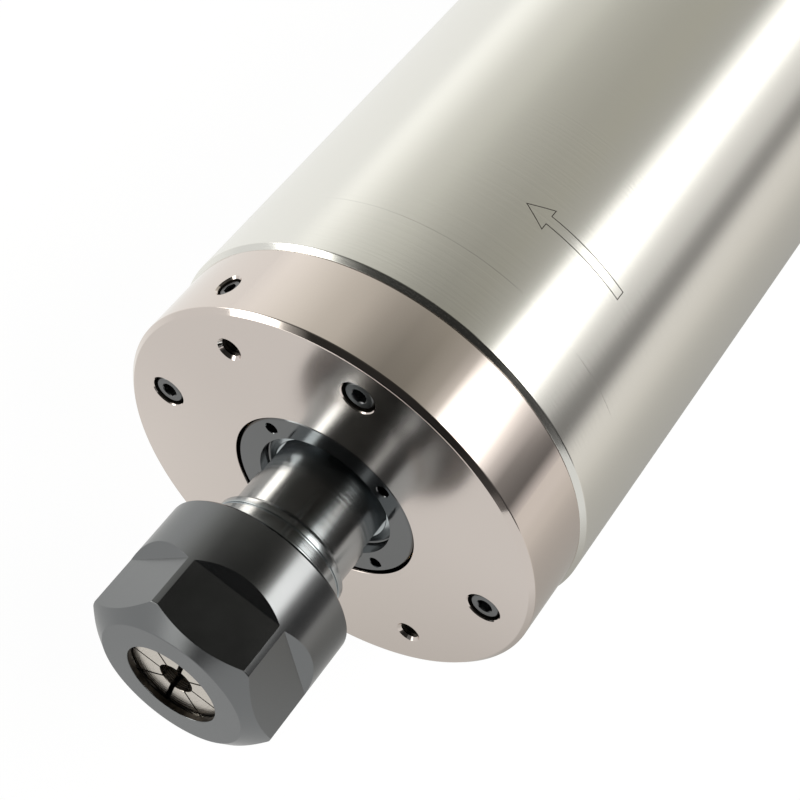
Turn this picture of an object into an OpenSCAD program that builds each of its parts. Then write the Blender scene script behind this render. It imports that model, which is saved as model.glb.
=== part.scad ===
// Water-cooled motor spindle with a collet nose, lying level.
// The axis is Y and the nose points to -Y. The origin is the middle of the
// front cover's face. Angles round the axis run from +X towards +Z.

/* [Body] */
// Outside diameter of the tube, which the machine's clamp grips
tube_d = 80; // [78:0.5:90]
// Wall of the tube
tube_wall = 3; // [2:0.25:3.5]
// Bevel on each end of the tube
tube_bevel = 0.7; // [0.3:0.1:1.2]
// Length from the front cover's face to the rear cover's outer face
body_len = 213; // [200:1:260]

/* [Covers] */
// Height of the tube's surface above the covers' rims
cover_step = 0.7; // [0.3:0.1:1.2]
// Bevel round each cover's outer face
cover_bevel = 0.8; // [0.3:0.1:1.5]
// Length of the front cover's rim
front_rim = 13.8; // [12:0.2:18]
// Length of the rear cover's rim
rear_rim = 12; // [11:0.5:16]
// Length of the rear cover's spigot inside the tube
rear_spigot = 8; // [7:0.5:10]
// Distance from the front cover's rim to its screw axes
screw_edge = 7.8; // [7:0.1:8.5]
// Number of screws in each cover
screw_count = 4; // [3:1:4]
// Thread diameter of the cover screws
screw_d = 3; // [2.5:0.1:3.5]
// Head diameter of the cover screws
screw_head_d = 5.5; // [5:0.1:6]
// Head height of the cover screws
screw_head_h = 3; // [2.5:0.1:3.5]
// Length of the cover screws under the head
screw_len = 18; // [16:1:20]
// Size of the hexagon sockets across flats
screw_key = 2.5; // [2:0.1:3]
// Depth of a screw head below the face
screw_sink = 0.4; // [0.1:0.1:0.8]
// Distance from the rear cover's rim to its screw axes
rear_screw_edge = 10.3; // [9.5:0.1:11]

/* [Face ports] */
// Thread diameter of the two tapped ports in the front face
port_d = 4; // [3.9:0.05:4.2]
// Diameter of their countersunk mouths
port_mouth_d = 4.5; // [4.4:0.1:5]
// Depth of the ports
port_depth = 9; // [8:0.5:11]
// Distance from the front face to the cross drilling in the rim
cross_y = 6.2; // [5.5:0.1:7]
// Diameter of the cross drilling
cross_d = 2.5; // [2:0.1:3]
// Diameter of the plug screw in the cross drilling's mouth
plug_d = 4; // [3.5:0.1:4.5]
// Length of the plug screw
plug_len = 4.6; // [4:0.1:5]

/* [Lock ring] */
// Outside diameter of the lock ring
lock_d = 34; // [32:0.5:35]
// Length of the lock ring
lock_len = 7.8; // [7:0.1:9]
// Depth of the lock ring's face below the cover's face
lock_sink = 0.3; // [0.1:0.1:0.6]
// Gap round the lock ring
lock_gap = 0.4; // [0.3:0.05:0.6]
// Number of pin-spanner holes
lock_holes = 4; // [2:1:6]
// Circle of the pin-spanner holes
lock_hole_circle = 30; // [29.5:0.1:30.5]
// Diameter of the pin-spanner holes
lock_hole_d = 2.2; // [1.8:0.1:2.6]
// Depth of the pin-spanner holes
lock_hole_depth = 3; // [2:0.5:5]

/* [Shaft] */
// Diameter of the bare neck between cover and nut
neck_d = 21.6; // [20:0.2:22.5]
// Size across the wrench flats at the neck's foot
neck_flats = 20.4; // [19:0.2:20.6]
// Distance from the cover's face to the collar behind the nut
neck_len = 11.4; // [9:0.2:14]
// Diameter of the nose thread that carries the nut
nose_d = 24.8; // [24:0.1:24.9]
// Distance from the nut's front back to the end of the nose
nose_gap = 7.9; // [7.5:0.1:8.3]
// Diameter of the seat under the rotor core
rotor_seat_d = 26; // [26:0.5:28]

/* [Collet nut] */
// Outside diameter of the nut
nut_d = 34; // [33:0.1:36]
// Size across the nut's flats
nut_flats = 30; // [29.5:0.1:31]
// Length of the nut
nut_len = 23.2; // [22:0.1:24]
// Distance from the cover's face to the nut's front
nut_reach = 41.3; // [39:0.1:43]
// Diameter of the nut's flat front face
nut_face_d = 26; // [24:0.2:28]
// Length of the cone behind the front face
nut_cone = 2.8; // [2:0.1:3.5]
// Length of the flats from the front face back
nut_flat_len = 11.9; // [10:0.1:13]
// Rise of the flats' sloped run-out for each millimetre along the nut
nut_runout = 1.14; // [0.9:0.02:1.4]
// Diameter of the nut's mouth
nut_mouth_d = 16.4; // [16:0.1:17]
// Length of the round land in the nut's mouth
nut_land = 1; // [0.6:0.1:1.1]
// Bevel on the nut's rear rim
nut_bevel = 0.6; // [0.3:0.1:1]
// Diameter of the hole in the nut, over its thread
nut_bore_d = 25; // [25:0.05:25.2]

/* [Collet] */
// Largest diameter of the collet
collet_d = 21; // [20.8:0.1:21.2]
// Length of the collet
collet_len = 31.5; // [30:0.5:33]
// Bore for the tool's shank
collet_bore = 6; // [3:0.5:10]
// Depth of the collet's face in the nut's mouth
collet_sink = 1.3; // [1.2:0.1:1.5]
// Half angle of the long taper, in degrees
collet_taper = 8; // [7.5:0.1:8.5]
// Number of slits cut from each end
collet_slits = 8; // [6:1:8]
// Width of a slit
slit_w = 0.35; // [0.25:0.05:0.5]
// Width of the two opposite wide slits
wide_slit_w = 0.85; // [0.6:0.05:1]

/* [Bearings] */
// Bore of the front bearings
front_bore = 25; // [25:0.05:25.1]
// Outside diameter of the front bearings
front_od = 47; // [44:0.5:49]
// Width of a front bearing
front_w = 12; // [11:0.5:13]
// Ball diameter of the front bearings as a share of the height from bore to outside
front_ball_share = 0.577; // [0.5:0.005:0.59]
// Number of balls in a front bearing
front_balls = 14; // [10:1:14]
// Length of the spacers between the front bearings
front_spacer = 6; // [4:0.5:10]
// Bore of the rear bearings
rear_bore = 15; // [14.5:0.1:15.5]
// Outside diameter of the rear bearings
rear_od = 32; // [31:0.5:32.5]
// Width of a rear bearing
rear_w = 9; // [8:0.5:10]
// Ball diameter of the rear bearings as a share of the height from bore to outside
rear_ball_share = 0.56; // [0.5:0.005:0.58]
// Number of balls in a rear bearing
rear_balls = 11; // [8:1:11]
// Length of the spacers between the rear bearings
rear_spacer = 2; // [1.5:0.5:4]
// Wall between the bearing housing's outside and the holes of the cover screws
housing_edge = 1.65; // [1.5:0.05:2]
// Thickness of the bearing clamp ring's flange
clamp_ring_t = 3; // [2.5:0.5:4]
// Thread diameter of the clamp ring's screws
clamp_screw_d = 1.6; // [1.4:0.1:1.8]
// Head diameter of the clamp ring's screws
clamp_head_d = 3; // [2.6:0.1:3.2]

/* [Motor] */
// Diameter of the rotor core as a share of the stator's outside
rotor_share = 0.53; // [0.51:0.005:0.55]
// Air gap between rotor and stator
air_gap = 0.3; // [0.2:0.05:0.5]
// Number of stator slots
slot_count = 18; // [12:3:24]
// Width of a stator tooth as a share of the slots' spacing at the bore
tooth_share = 0.49; // [0.4:0.01:0.5]
// Thickness of iron behind the slots as a share of the stator's radius
iron_share = 0.1665; // [0.13:0.005:0.18]
// Length of the windings beyond each end of the core
end_turn = 16; // [12:0.5:18]
// Free length in front of the front end turns
turn_gap = 8; // [5:0.5:12]
// Length of each rotor end ring
end_ring_len = 6; // [4:0.5:8]
// Length of each balance ring
balance_len = 5; // [3:0.5:6]

/* [Water jacket] */
// Depth of the water channels
channel_depth = 2.25; // [1.5:0.25:3]
// Jacket wall left under the channels
channel_floor = 2.2; // [1.8:0.1:2.4]
// Number of lengthwise channels, an even number
channels = 12; // [8:2:16]
// Width of the ribs between the channels
channel_rib = 4; // [3:0.5:5]
// Width of the passages that join neighbouring channels
channel_turn = 9; // [6:0.5:12]
// Section diameter of the sealing rings
seal_d = 1.5; // [1.2:0.1:1.6]

/* [Rear end] */
// Length of the rear bearing carrier
carrier_len = 25; // [24.5:0.5:30]
// Length of the nut behind the rear bearings
lock_nut_len = 6; // [5:0.5:7]
// Width of the wrench slots in that nut
lock_nut_slot = 3; // [2:0.5:4]
// Distance from the axis to the hose fittings
fitting_r = 23; // [22:0.5:24]
// Diameter of the fittings' threads
fitting_thread_d = 9.6; // [8:0.1:10]
// Length of the fittings' threads
fitting_thread_len = 8.5; // [7:0.5:8.5]
// Thickness of the washers under the fittings
washer_t = 1; // [0.8:0.1:1.5]
// Size of the fittings' hexagon across flats
fitting_hex = 12; // [11:0.5:13]
// Height of the fittings' hexagon
fitting_hex_h = 5; // [4:0.5:7]
// Root diameter of the hose tails
tail_d = 6.4; // [5.6:0.1:7]
// Crest diameter of the hose tails' barbs
barb_d = 8; // [7.4:0.1:8.6]
// Distance from barb to barb
barb_pitch = 4; // [3:0.5:5]
// Number of barbs on a hose tail
barbs = 3; // [2:1:4]
// Bore of the hose tails
tail_bore = 4; // [3:0.2:4.4]
// Distance from the axis to the power socket
socket_r = 22.5; // [22:0.1:23]
// Thread diameter of the power socket
socket_d = 15.8; // [15:0.1:16]
// Length of the power socket outside the cover
socket_len = 12; // [11:0.5:16]
// Diameter of the power socket's flange
socket_flange_d = 21; // [19:0.5:22]
// Circle of the socket's pins
pin_circle = 7.4; // [6.6:0.1:7.4]
// Diameter of the socket's pins
pin_d = 1.5; // [1:0.1:1.6]
// Depth of the pins' tips below the socket's rim
pin_sink = 4.8; // [4.4:0.1:5.4]

/* [Hidden] */
$fn = 96;

// Clearances: faces that seat, slip fits, and parts that run in one another
seat = 0.05;
slip = 0.05;
seal_gap = 0.02;
run_gap = 0.1;
eps = 0.5;

// Turns round the axis, as the photo shows them
screw_turn = 90;
port_turn = 135;
lock_turn = 54;
flats_turn = -7.6;
nut_turn = 83.8;
slit_turn = 85.4;
socket_turn = 90;
fitting_turns = [200, 340];
rear_screw_turn = 45;

// Radii
tube_r = tube_d / 2;
tube_in = tube_r - tube_wall;
cover_r = tube_r - cover_step;
jacket_r = tube_in - slip;
jacket_in = jacket_r - channel_depth - channel_floor;
stator_r = jacket_in - slip;
rotor_r = stator_r * rotor_share;
stator_in = rotor_r + air_gap;
tooth_w = tooth_share * 2 * PI * stator_in / slot_count;
back_iron = iron_share * stator_r;
screw_r = cover_r - screw_edge;
screw_hole_r = screw_d / 2 + 0.3;
rear_screw_r = cover_r - rear_screw_edge;
lock_hole_r = lock_d / 2 + lock_gap;
journal_r = front_bore / 2 - slip;
rear_journal_r = rear_bore / 2 - slip;
seat_r = rotor_seat_d / 2;
front_bearing_r = front_od / 2 + slip;
rear_bearing_r = rear_od / 2 + slip;
spigot_r = screw_r - screw_hole_r - housing_edge;
housing_wall = spigot_r - front_bearing_r;
carrier_r = jacket_in - slip;
front_pitch = (front_bore + front_od) / 4;
rear_pitch = (rear_bore + rear_od) / 4;
front_ball = (front_od - front_bore) / 2 * front_ball_share;
rear_ball = (rear_od - rear_bore) / 2 * rear_ball_share;

// Places along the axis, front to rear
bearing_y = lock_sink + lock_len + run_gap;
bearing2_y = bearing_y + front_w + front_spacer;
bearing_end = bearing2_y + front_w;
spigot_end = bearing_end + 1;
clamp_end = spigot_end + slip + clamp_ring_t;
jacket_y = front_rim + seat;
jacket_ring_end = clamp_end + 1.5;
stator_y = clamp_end + turn_gap + end_turn;

// Places along the axis, counted from the rear face
tube_end = body_len - rear_rim;
jacket_end = tube_end - rear_spigot;
carrier_y = jacket_end - carrier_len;
rear2_y = jacket_end - rear_w;
rear1_y = rear2_y - rear_spacer - rear_w;
stator_end = carrier_y - 5.5 - end_turn;
channel_y = jacket_ring_end - 12;
channel_end = jacket_end - 8;
spring_t = 0.5;
spring_cone = 0.5;
spring_y = rear1_y - 2 * (spring_t + spring_cone) - 3 * seat;

// Socket-head screws
head_hole_r = screw_head_d / 2 + 0.25;
tap_r = screw_d / 2 + slip;

// Collet and nose
nose_reach = nut_reach - nose_gap;
collet_y = -nut_reach + collet_sink;
collet_max_y = collet_y + 6.3;
collet_rear_y = collet_y + collet_len;
collet_r = collet_d / 2;
taper_slope = tan(collet_taper);
groove_y = collet_y + 2.8;
groove_w = 2;
groove_r = collet_r - 1.9;
seat_slope = tan(30);
collet_face_r = collet_r - 1.6;
ring_gap = 0.25;
ring_seat_r = collet_r + 0.55;

// Radius of the collet's long taper at y
function taper_r(y) = collet_r - (y - collet_max_y) * taper_slope;

// A profile of [radius, y] points turned round the axis
module turned(profile) rotate([-90, 0, 0]) rotate_extrude() polygon(profile);

// The same, over part of the circle from the turn a0 to a1
module turned_part(profile, a0, a1)
    rotate([0, -a0, 0]) rotate([-90, 0, 0]) mirror([0, 1, 0])
        rotate_extrude(angle = a1 - a0) polygon(profile);

// A plain ring between two radii and two places along the axis
module band(r0, r1, y0, y1) turned([[r0, y0], [r1, y0], [r1, y1], [r0, y1]]);

// A solid rod along the axis
module rod(r, y0, y1) translate([0, y0, 0]) rotate([-90, 0, 0]) cylinder(r = r, h = y1 - y0);

// A countersink that opens towards -Y or +Y
module cone(r0, r1, y0, y1)
    translate([0, y0, 0]) rotate([-90, 0, 0]) cylinder(r1 = r0, r2 = r1, h = y1 - y0);

// Children at turn a and distance r from the axis
module at(a, r = 0) rotate([0, -a, 0]) translate([r, 0, 0]) children();

// Children repeated n times round the axis
module around(n, a = 0, r = 0) for (i = [0:n - 1]) at(a + i * 360 / n, r) children();

// A six-sided hole or head along the axis, size across flats
module hex(af, y0, y1)
    translate([0, y0, 0]) rotate([-90, 0, 0]) cylinder(r = af / sqrt(3), h = y1 - y0, $fn = 6);

// A sealing ring of round section
module seal(r, y) rotate([-90, 0, 0]) rotate_extrude() translate([r, y]) circle(d = seal_d, $fn = 32);

// A socket-head screw whose head starts at y = 0 and whose shank runs to +Y
module cap_screw(d, head_d, head_h, len, key) {
    difference() {
        union() {
            cone(head_d / 2 - 0.35, head_d / 2, 0, 0.35);
            rod(head_d / 2, 0.35, head_h);
            rod(d / 2, head_h - eps, head_h + len);
        }
        hex(key, -eps, head_h * 0.6);
    }
}

// Outer ring of a ball bearing, with its ball groove
module outer_ring(od, w, pitch, ball, y)
    difference() {
        band(pitch + ball * 0.4, od / 2, y, y + w);
        rotate([-90, 0, 0]) rotate_extrude() translate([pitch, y + w / 2])
            circle(r = ball / 2 + seat, $fn = 32);
    }

// Inner ring of a ball bearing, with its ball groove
module inner_ring(bore, w, pitch, ball, y)
    difference() {
        band(bore / 2, pitch - ball * 0.4, y, y + w);
        rotate([-90, 0, 0]) rotate_extrude() translate([pitch, y + w / 2])
            circle(r = ball / 2 + seat, $fn = 32);
    }

// Balls of a bearing
module balls(n, pitch, ball, y)
    around(n, 0, pitch) translate([0, y, 0]) sphere(d = ball, $fn = 32);

// Cage of a bearing, with a round pocket for each ball
module cage(n, w, pitch, ball, y)
    difference() {
        band(pitch - ball * 0.16, pitch + ball * 0.16, y - w * 0.4, y + w * 0.4);
        around(n, 0, pitch) translate([-ball / 3, y, 0]) rotate([0, 90, 0])
            cylinder(r = ball / 2 + run_gap, h = ball * 2 / 3, $fn = 24);
    }

// Steel tube with a bevel at each end
module outer_tube() color("#d9d8d2")
    turned([
        [tube_in, front_rim], [tube_r - tube_bevel, front_rim], [tube_r, front_rim + tube_bevel],
        [tube_r, tube_end - tube_bevel], [tube_r - tube_bevel, tube_end], [tube_in, tube_end]
    ]);

// Front cover: rim, face and the sleeve that houses the front bearings
module front_cover() color("#c9bfb8")
    difference() {
        turned([
            [lock_hole_r, 0], [cover_r - cover_bevel, 0], [cover_r, cover_bevel],
            [cover_r, front_rim - seat], [spigot_r, front_rim - seat],
            [spigot_r, spigot_end], [front_bearing_r, spigot_end],
            [front_bearing_r, bearing_y], [lock_hole_r, bearing_y]
        ]);
        around(screw_count, screw_turn, screw_r) {
            rod(head_hole_r, -eps, screw_sink + screw_head_h);
            rod(screw_hole_r, 0, front_rim + eps);
        }
        around(2, port_turn, screw_r) {
            rod(port_d / 2, -eps, port_depth);
            cone(port_mouth_d / 2, port_d / 2, 0, (port_mouth_d - port_d) / 2);
        }
        at(port_turn) translate([0, cross_y, 0]) rotate([0, 90, 0]) {
            cylinder(d = cross_d, h = cover_r + eps);
            translate([0, 0, cover_r - plug_len - 0.9]) cylinder(d = plug_d + 2 * slip, h = plug_len + 2);
            translate([0, 0, cover_r - 0.35])
                cylinder(d1 = plug_d + 2 * slip, d2 = plug_d + 2 * slip + 1.4, h = 0.7);
        }
        band(jacket_seal_r - seal_d / 2 - slip, jacket_seal_r + seal_d / 2 + slip,
            front_rim - seal_d - slip, front_rim + eps);
    }
jacket_seal_r = (screw_r + screw_hole_r + jacket_r) / 2 + 0.4;

// Socket-head screws that hold the front cover
module front_cover_screws() color("#4c4c50")
    around(screw_count, screw_turn, screw_r) translate([0, screw_sink, 0])
        cap_screw(screw_d, screw_head_d, screw_head_h - seat, screw_len, screw_key);

// Plug screw in the mouth of the cross drilling
module side_plug_screw() color("#4c4c50")
    at(port_turn, cover_r - 0.6) translate([0, cross_y, 0]) rotate([0, -90, 0])
        difference() {
            cylinder(d = plug_d, h = plug_len);
            translate([0, 0, -eps]) cylinder(r = 2 / sqrt(3), h = 2.2 + eps, $fn = 6);
        }

// Seal between the front cover and the jacket
module front_cover_seal() color("#222222")
    seal(jacket_seal_r, front_rim - seal_d / 2);

// Cooling jacket: lengthwise channels joined in turn at the front and the rear
module water_jacket() color("#b9bcc0") {
    step = 360 / channels;
    rib = 2 * asin(channel_rib / 2 / jacket_r);
    first = 270 + step / 2;
    cut_in = jacket_r - channel_depth;
    cut_out = jacket_r + eps;
    turn_in = cut_in + 0.25;
    front_turn = channel_y + 1;
    rear_turn = channel_end - 1;
    difference() {
        turned([
            [spigot_r + slip, jacket_y], [jacket_r, jacket_y], [jacket_r, jacket_end - seat],
            [jacket_in, jacket_end - seat], [jacket_in, jacket_ring_end], [spigot_r + slip, jacket_ring_end]
        ]);
        for (i = [0:channels - 1]) {
            a = first + i * step;
            turned_part([[cut_in, channel_y], [cut_out, channel_y], [cut_out, channel_end],
                [cut_in, channel_end]], a - step / 2 + rib / 2, a + step / 2 - rib / 2);
        }
        for (i = [0:2:channels - 2]) {
            a = first + i * step;
            turned_part([[turn_in, front_turn], [cut_out, front_turn], [cut_out, front_turn + channel_turn],
                [turn_in, front_turn + channel_turn]], a, a + step);
        }
        for (i = [1:2:channels - 3]) {
            a = first + i * step;
            turned_part([[turn_in, rear_turn - channel_turn], [cut_out, rear_turn - channel_turn],
                [cut_out, rear_turn], [turn_in, rear_turn]], a, a + step);
        }
        for (i = [0, channels - 1]) {
            a = first + i * step;
            turned_part([[turn_in, channel_end - 1], [cut_out, channel_end - 1], [cut_out, jacket_end + eps],
                [turn_in, jacket_end + eps]], a - step / 4, a + step / 4);
        }
        around(screw_count, screw_turn, screw_r)
            rod(tap_r, front_rim - eps, screw_sink + screw_head_h + screw_len + 1.5);
    }
}

// Laminated stator with slots of even tooth width
module stator_core() color("#6e7074") {
    half = 180 / slot_count;
    slot_in = stator_in + 1.6;
    slot_out = stator_r - back_iron;
    in_w = slot_in * tan(half) - tooth_w / 2;
    out_w = slot_out * tan(half) - tooth_w / 2;
    translate([0, stator_y, 0]) rotate([-90, 0, 0]) linear_extrude(stator_end - stator_y)
        difference() {
            circle(r = stator_r);
            circle(r = stator_in);
            for (i = [0:slot_count - 1]) rotate(i * 360 / slot_count) {
                polygon([[slot_in, -in_w], [slot_out, -out_w], [slot_out, out_w], [slot_in, in_w]]);
                translate([stator_in - eps, -0.8]) square([slot_in - stator_in + 2 * eps, 1.6]);
            }
        }
}

// Copper windings: bars in the slots and the end turns at both ends
module stator_windings() color("#b06a35") {
    half = 180 / slot_count;
    gap = 0.2;
    slot_in = stator_in + 1.6 + gap;
    slot_out = stator_r - back_iron - gap;
    in_w = (slot_in - gap) * tan(half) - tooth_w / 2 - gap;
    out_w = (slot_out + gap) * tan(half) - tooth_w / 2 - gap;
    turn_in = stator_in + 2;
    turn_out = stator_r - 3;
    union() {
        translate([0, stator_y - 1, 0]) rotate([-90, 0, 0]) linear_extrude(stator_end - stator_y + 2)
            for (i = [0:slot_count - 1]) rotate(i * 360 / slot_count)
                polygon([[slot_in, -in_w], [slot_out, -out_w], [slot_out, out_w], [slot_in, in_w]]);
        turned(end_turn_profile(turn_in, turn_out, stator_y - seat, -1));
        turned(end_turn_profile(turn_in, turn_out, stator_end + seat, 1));
    }
}
function end_turn_profile(r0, r1, y, way) = [
    [r0, y], [r0, y + way * (end_turn - 3)], [r0 + 2.5, y + way * end_turn],
    [r1 - 2.5, y + way * end_turn], [r1, y + way * (end_turn - 3)], [r1, y]
];

// Four leads from the rear end turns to the socket's pins
module lead_wires() color("#c8a23c")
    at(socket_turn, socket_r) around(4, 45, pin_circle / 2)
        rod(1, stator_end + end_turn + 2 * seat, pin_back_y - seat);

// Outer rings of the two front bearings
module front_outer_rings() color("#c4c6c9") {
    outer_ring(front_od, front_w, front_pitch, front_ball, bearing_y + seat);
    outer_ring(front_od, front_w - 2 * seat, front_pitch, front_ball, bearing2_y + seat);
}

// Spacer between the front outer rings
module front_outer_spacer() color("#9a9da1")
    band(front_pitch + front_ball * 0.4, front_od / 2, bearing_y + front_w + 2 * seat, bearing2_y);

// Ring that clamps the front outer rings in the cover's sleeve
module bearing_clamp_ring() color("#8d9094")
    difference() {
        turned([
            [front_pitch + front_ball * 0.4, bearing_end + seat], [front_od / 2, bearing_end + seat],
            [front_od / 2, spigot_end + slip], [spigot_r - slip, spigot_end + slip],
            [spigot_r - slip, clamp_end], [front_pitch + front_ball * 0.4, clamp_end]
        ]);
        around(6, 0, front_bearing_r + housing_wall / 2) {
            rod(clamp_screw_d / 2 + 0.1, spigot_end, clamp_end + eps);
            rod(clamp_head_d / 2 + 0.1, clamp_end - 1.5, clamp_end + eps);
        }
    }

// Small screws of the clamp ring, held in the sleeve's end
module clamp_ring_screws() color("#3a3a3e")
    around(6, 0, front_bearing_r + housing_wall / 2)
        translate([0, clamp_end, 0]) rotate([0, 0, 180])
            cap_screw(clamp_screw_d, clamp_head_d, 1.5 - seat, clamp_ring_t - 1.6, 1.5);

// Carrier of the rear bearings, screwed into the jacket's rear
module rear_carrier() color("#aeb1b5")
    difference() {
        turned([
            [rear_bearing_r - 3.5, carrier_y], [carrier_r, carrier_y], [carrier_r, jacket_end - seat],
            [rear_bearing_r, jacket_end - seat], [rear_bearing_r, spring_y - seat],
            [rear_bearing_r - 3.5, spring_y - seat]
        ]);
        at(socket_turn, socket_r) rod(5, carrier_y - eps, jacket_end + eps);
        around(screw_count, rear_screw_turn, rear_screw_r)
            rod(tap_r, body_len - screw_sink - screw_head_h - screw_len - 1.5, jacket_end + eps);
        band(jacket_in - seal_d - 2 * seal_gap, carrier_r + eps, carrier_seal_y - seal_d / 2 - slip,
            carrier_seal_y + seal_d / 2 + slip);
    }
carrier_seal_y = carrier_y + 6;

// Sealing ring round the carrier
module carrier_seal() color("#222222")
    seal(jacket_in - seal_d / 2 - seal_gap, carrier_seal_y);

// Two disc springs set back to back, which push the rear outer rings back
module preload_springs() color("#8a8578") {
    r0 = rear_bearing_r - 3.3;
    r1 = rear_bearing_r - 0.2;
    y = spring_y;
    mid = y + spring_t + spring_cone + seat;
    turned([[r1, y], [r1, y + spring_t], [r0, y + spring_cone + spring_t], [r0, y + spring_cone]]);
    turned([[r0, mid], [r1, mid + spring_cone], [r1, mid + spring_cone + spring_t], [r0, mid + spring_t]]);
}

// Outer rings of the two rear bearings
module rear_outer_rings() color("#c4c6c9") {
    outer_ring(rear_od, rear_w - seat, rear_pitch, rear_ball, rear1_y + seat);
    outer_ring(rear_od, rear_w - 2 * seat, rear_pitch, rear_ball, rear2_y + seat);
}

// Spacer between the rear outer rings
module rear_outer_spacer() color("#9a9da1")
    band(rear_pitch + rear_ball * 0.4, rear_od / 2, rear1_y + rear_w + seat, rear2_y);

// Rear cover: rim, spigot, water ports with their pockets, and the socket's hole
module rear_cover() color("#c9bfb8")
    difference() {
        turned([
            [shaft_room, jacket_end], [tube_in - slip, jacket_end], [tube_in - slip, tube_end + seat],
            [cover_r, tube_end + seat], [cover_r, body_len - cover_bevel], [cover_r - cover_bevel, body_len],
            [0, body_len], [0, body_len - wall_t], [shaft_room, body_len - wall_t]
        ]);
        around(screw_count, rear_screw_turn, rear_screw_r) {
            rod(head_hole_r, body_len - screw_sink - screw_head_h, body_len + eps);
            rod(screw_hole_r, jacket_end - eps, body_len);
        }
        at(socket_turn, socket_r) rod(socket_d / 2 + slip, jacket_end - eps, body_len + eps);
        for (i = [0, 1]) {
            at(fitting_turns[i], fitting_r) {
                rod(fitting_thread_d / 2 + slip, body_len - 9, body_len + eps);
                rod(2.5, port_y, body_len - 8);
            }
            at(fitting_turns[i], fitting_r) translate([0, port_y, 0]) rotate([0, 90, 0])
                cylinder(r = 2.5, h = pocket_in + 0.3 - fitting_r);
            side = i == 0 ? [fitting_turns[0] - 6, 270 - 6] : [270 + 6, fitting_turns[1] + 6];
            turned_part([[pocket_in, jacket_end - eps], [pocket_out, jacket_end - eps],
                [pocket_out, port_y + 1], [pocket_in, port_y + 1]], side[0], side[1]);
        }
        band(tube_in - seal_d - 2 * seal_gap, tube_in + eps, rear_seal_y - seal_d / 2 - slip,
            rear_seal_y + seal_d / 2 + slip);
    }
wall_t = 9;
shaft_room = 11.5;
port_y = jacket_end + 3.6;
pocket_in = jacket_r - channel_depth;
pocket_out = jacket_r - 1;
rear_seal_y = tube_end - 1.8;

// Socket-head screws that hold the rear cover
module rear_cover_screws() color("#4c4c50")
    around(screw_count, rear_screw_turn, rear_screw_r)
        translate([0, body_len - screw_sink, 0]) rotate([0, 0, 180])
            cap_screw(screw_d, screw_head_d, screw_head_h - seat, screw_len, screw_key);

// Sealing ring round the rear cover's spigot
module rear_cover_seal() color("#222222")
    seal(tube_in - seal_d / 2 - seal_gap, rear_seal_y);

// Two hose fittings: thread, hexagon and barbed tail
module hose_fittings() color("#c9c4b4") {
    tail = body_len + washer_t + fitting_hex_h;
    tail_len = (barbs + 1) * barb_pitch;
    for (a = fitting_turns) at(a, fitting_r)
        difference() {
            union() {
                rod(fitting_thread_d / 2, body_len - fitting_thread_len, body_len + washer_t + seat);
                hex(fitting_hex, body_len + washer_t + seat, tail);
                rod(tail_d / 2, tail - eps, tail + tail_len);
                for (i = [0:barbs - 1])
                    cone(barb_d / 2, tail_d / 2, tail + (i + 1) * barb_pitch,
                        tail + (i + 2) * barb_pitch - 0.4);
            }
            rod(tail_bore / 2, body_len - fitting_thread_len - eps, tail + tail_len + eps);
        }
}

// Soft washers under the fittings
module fitting_washers() color("#a65a2a")
    for (a = fitting_turns) at(a, fitting_r)
        band(fitting_thread_d / 2 + slip, fitting_hex / 2 + 0.3, body_len + slip, body_len + washer_t);

// Threaded shell of the power socket, with its flange and key slot
module socket_shell() color("#b8bac0")
    at(socket_turn, socket_r) difference() {
        union() {
            rod(socket_d / 2 - 0.5, body_len - 8, body_len + socket_len - 0.5);
            rod(socket_d / 2, body_len - 8, body_len + socket_len - 1);
            intersection() {
                rod(socket_flange_d / 2, body_len + seat, body_len + 2.5);
                translate([-socket_flange_d, body_len, 1.2 - socket_flange_d / 2])
                    cube([2 * socket_flange_d, 3, socket_flange_d - 2.4]);
            }
            cone(socket_d / 2, socket_d / 2 - 0.5, body_len + socket_len - 1, body_len + socket_len - 0.5);
        }
        rod(socket_bore, body_len + 3, body_len + socket_len + eps);
        rod(socket_bore - 0.8, body_len - 9, body_len + 4);
        translate([-1.1, body_len + 4, socket_bore - 0.7])
            cube([2.2, socket_len, 1.3]);
    }
socket_bore = socket_d / 2 - 1.3;

// Insulator that holds the pins
module socket_insulator() color("#2b2b2b")
    at(socket_turn, socket_r) difference() {
        union() {
            rod(socket_bore - 0.8 - slip, body_len - 6, body_len + 3 + seat);
            rod(socket_bore - slip, body_len + 3 + seat, body_len + 4);
        }
        around(4, 45, pin_circle / 2) rod(pin_d / 2 + slip, body_len - 7, body_len + 5);
    }

// Four pins with solder cups
module socket_pins() color("#c9a24a")
    at(socket_turn, socket_r) around(4, 45, pin_circle / 2) {
        tip = body_len + socket_len - pin_sink;
        rod(pin_d / 2, body_len - 6.5, tip - 0.4);
        cone(pin_d / 2, pin_d / 2 - 0.4, tip - 0.4, tip);
        rod(1, pin_back_y, body_len - 6 - seat);
    }
pin_back_y = body_len - 10;

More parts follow.
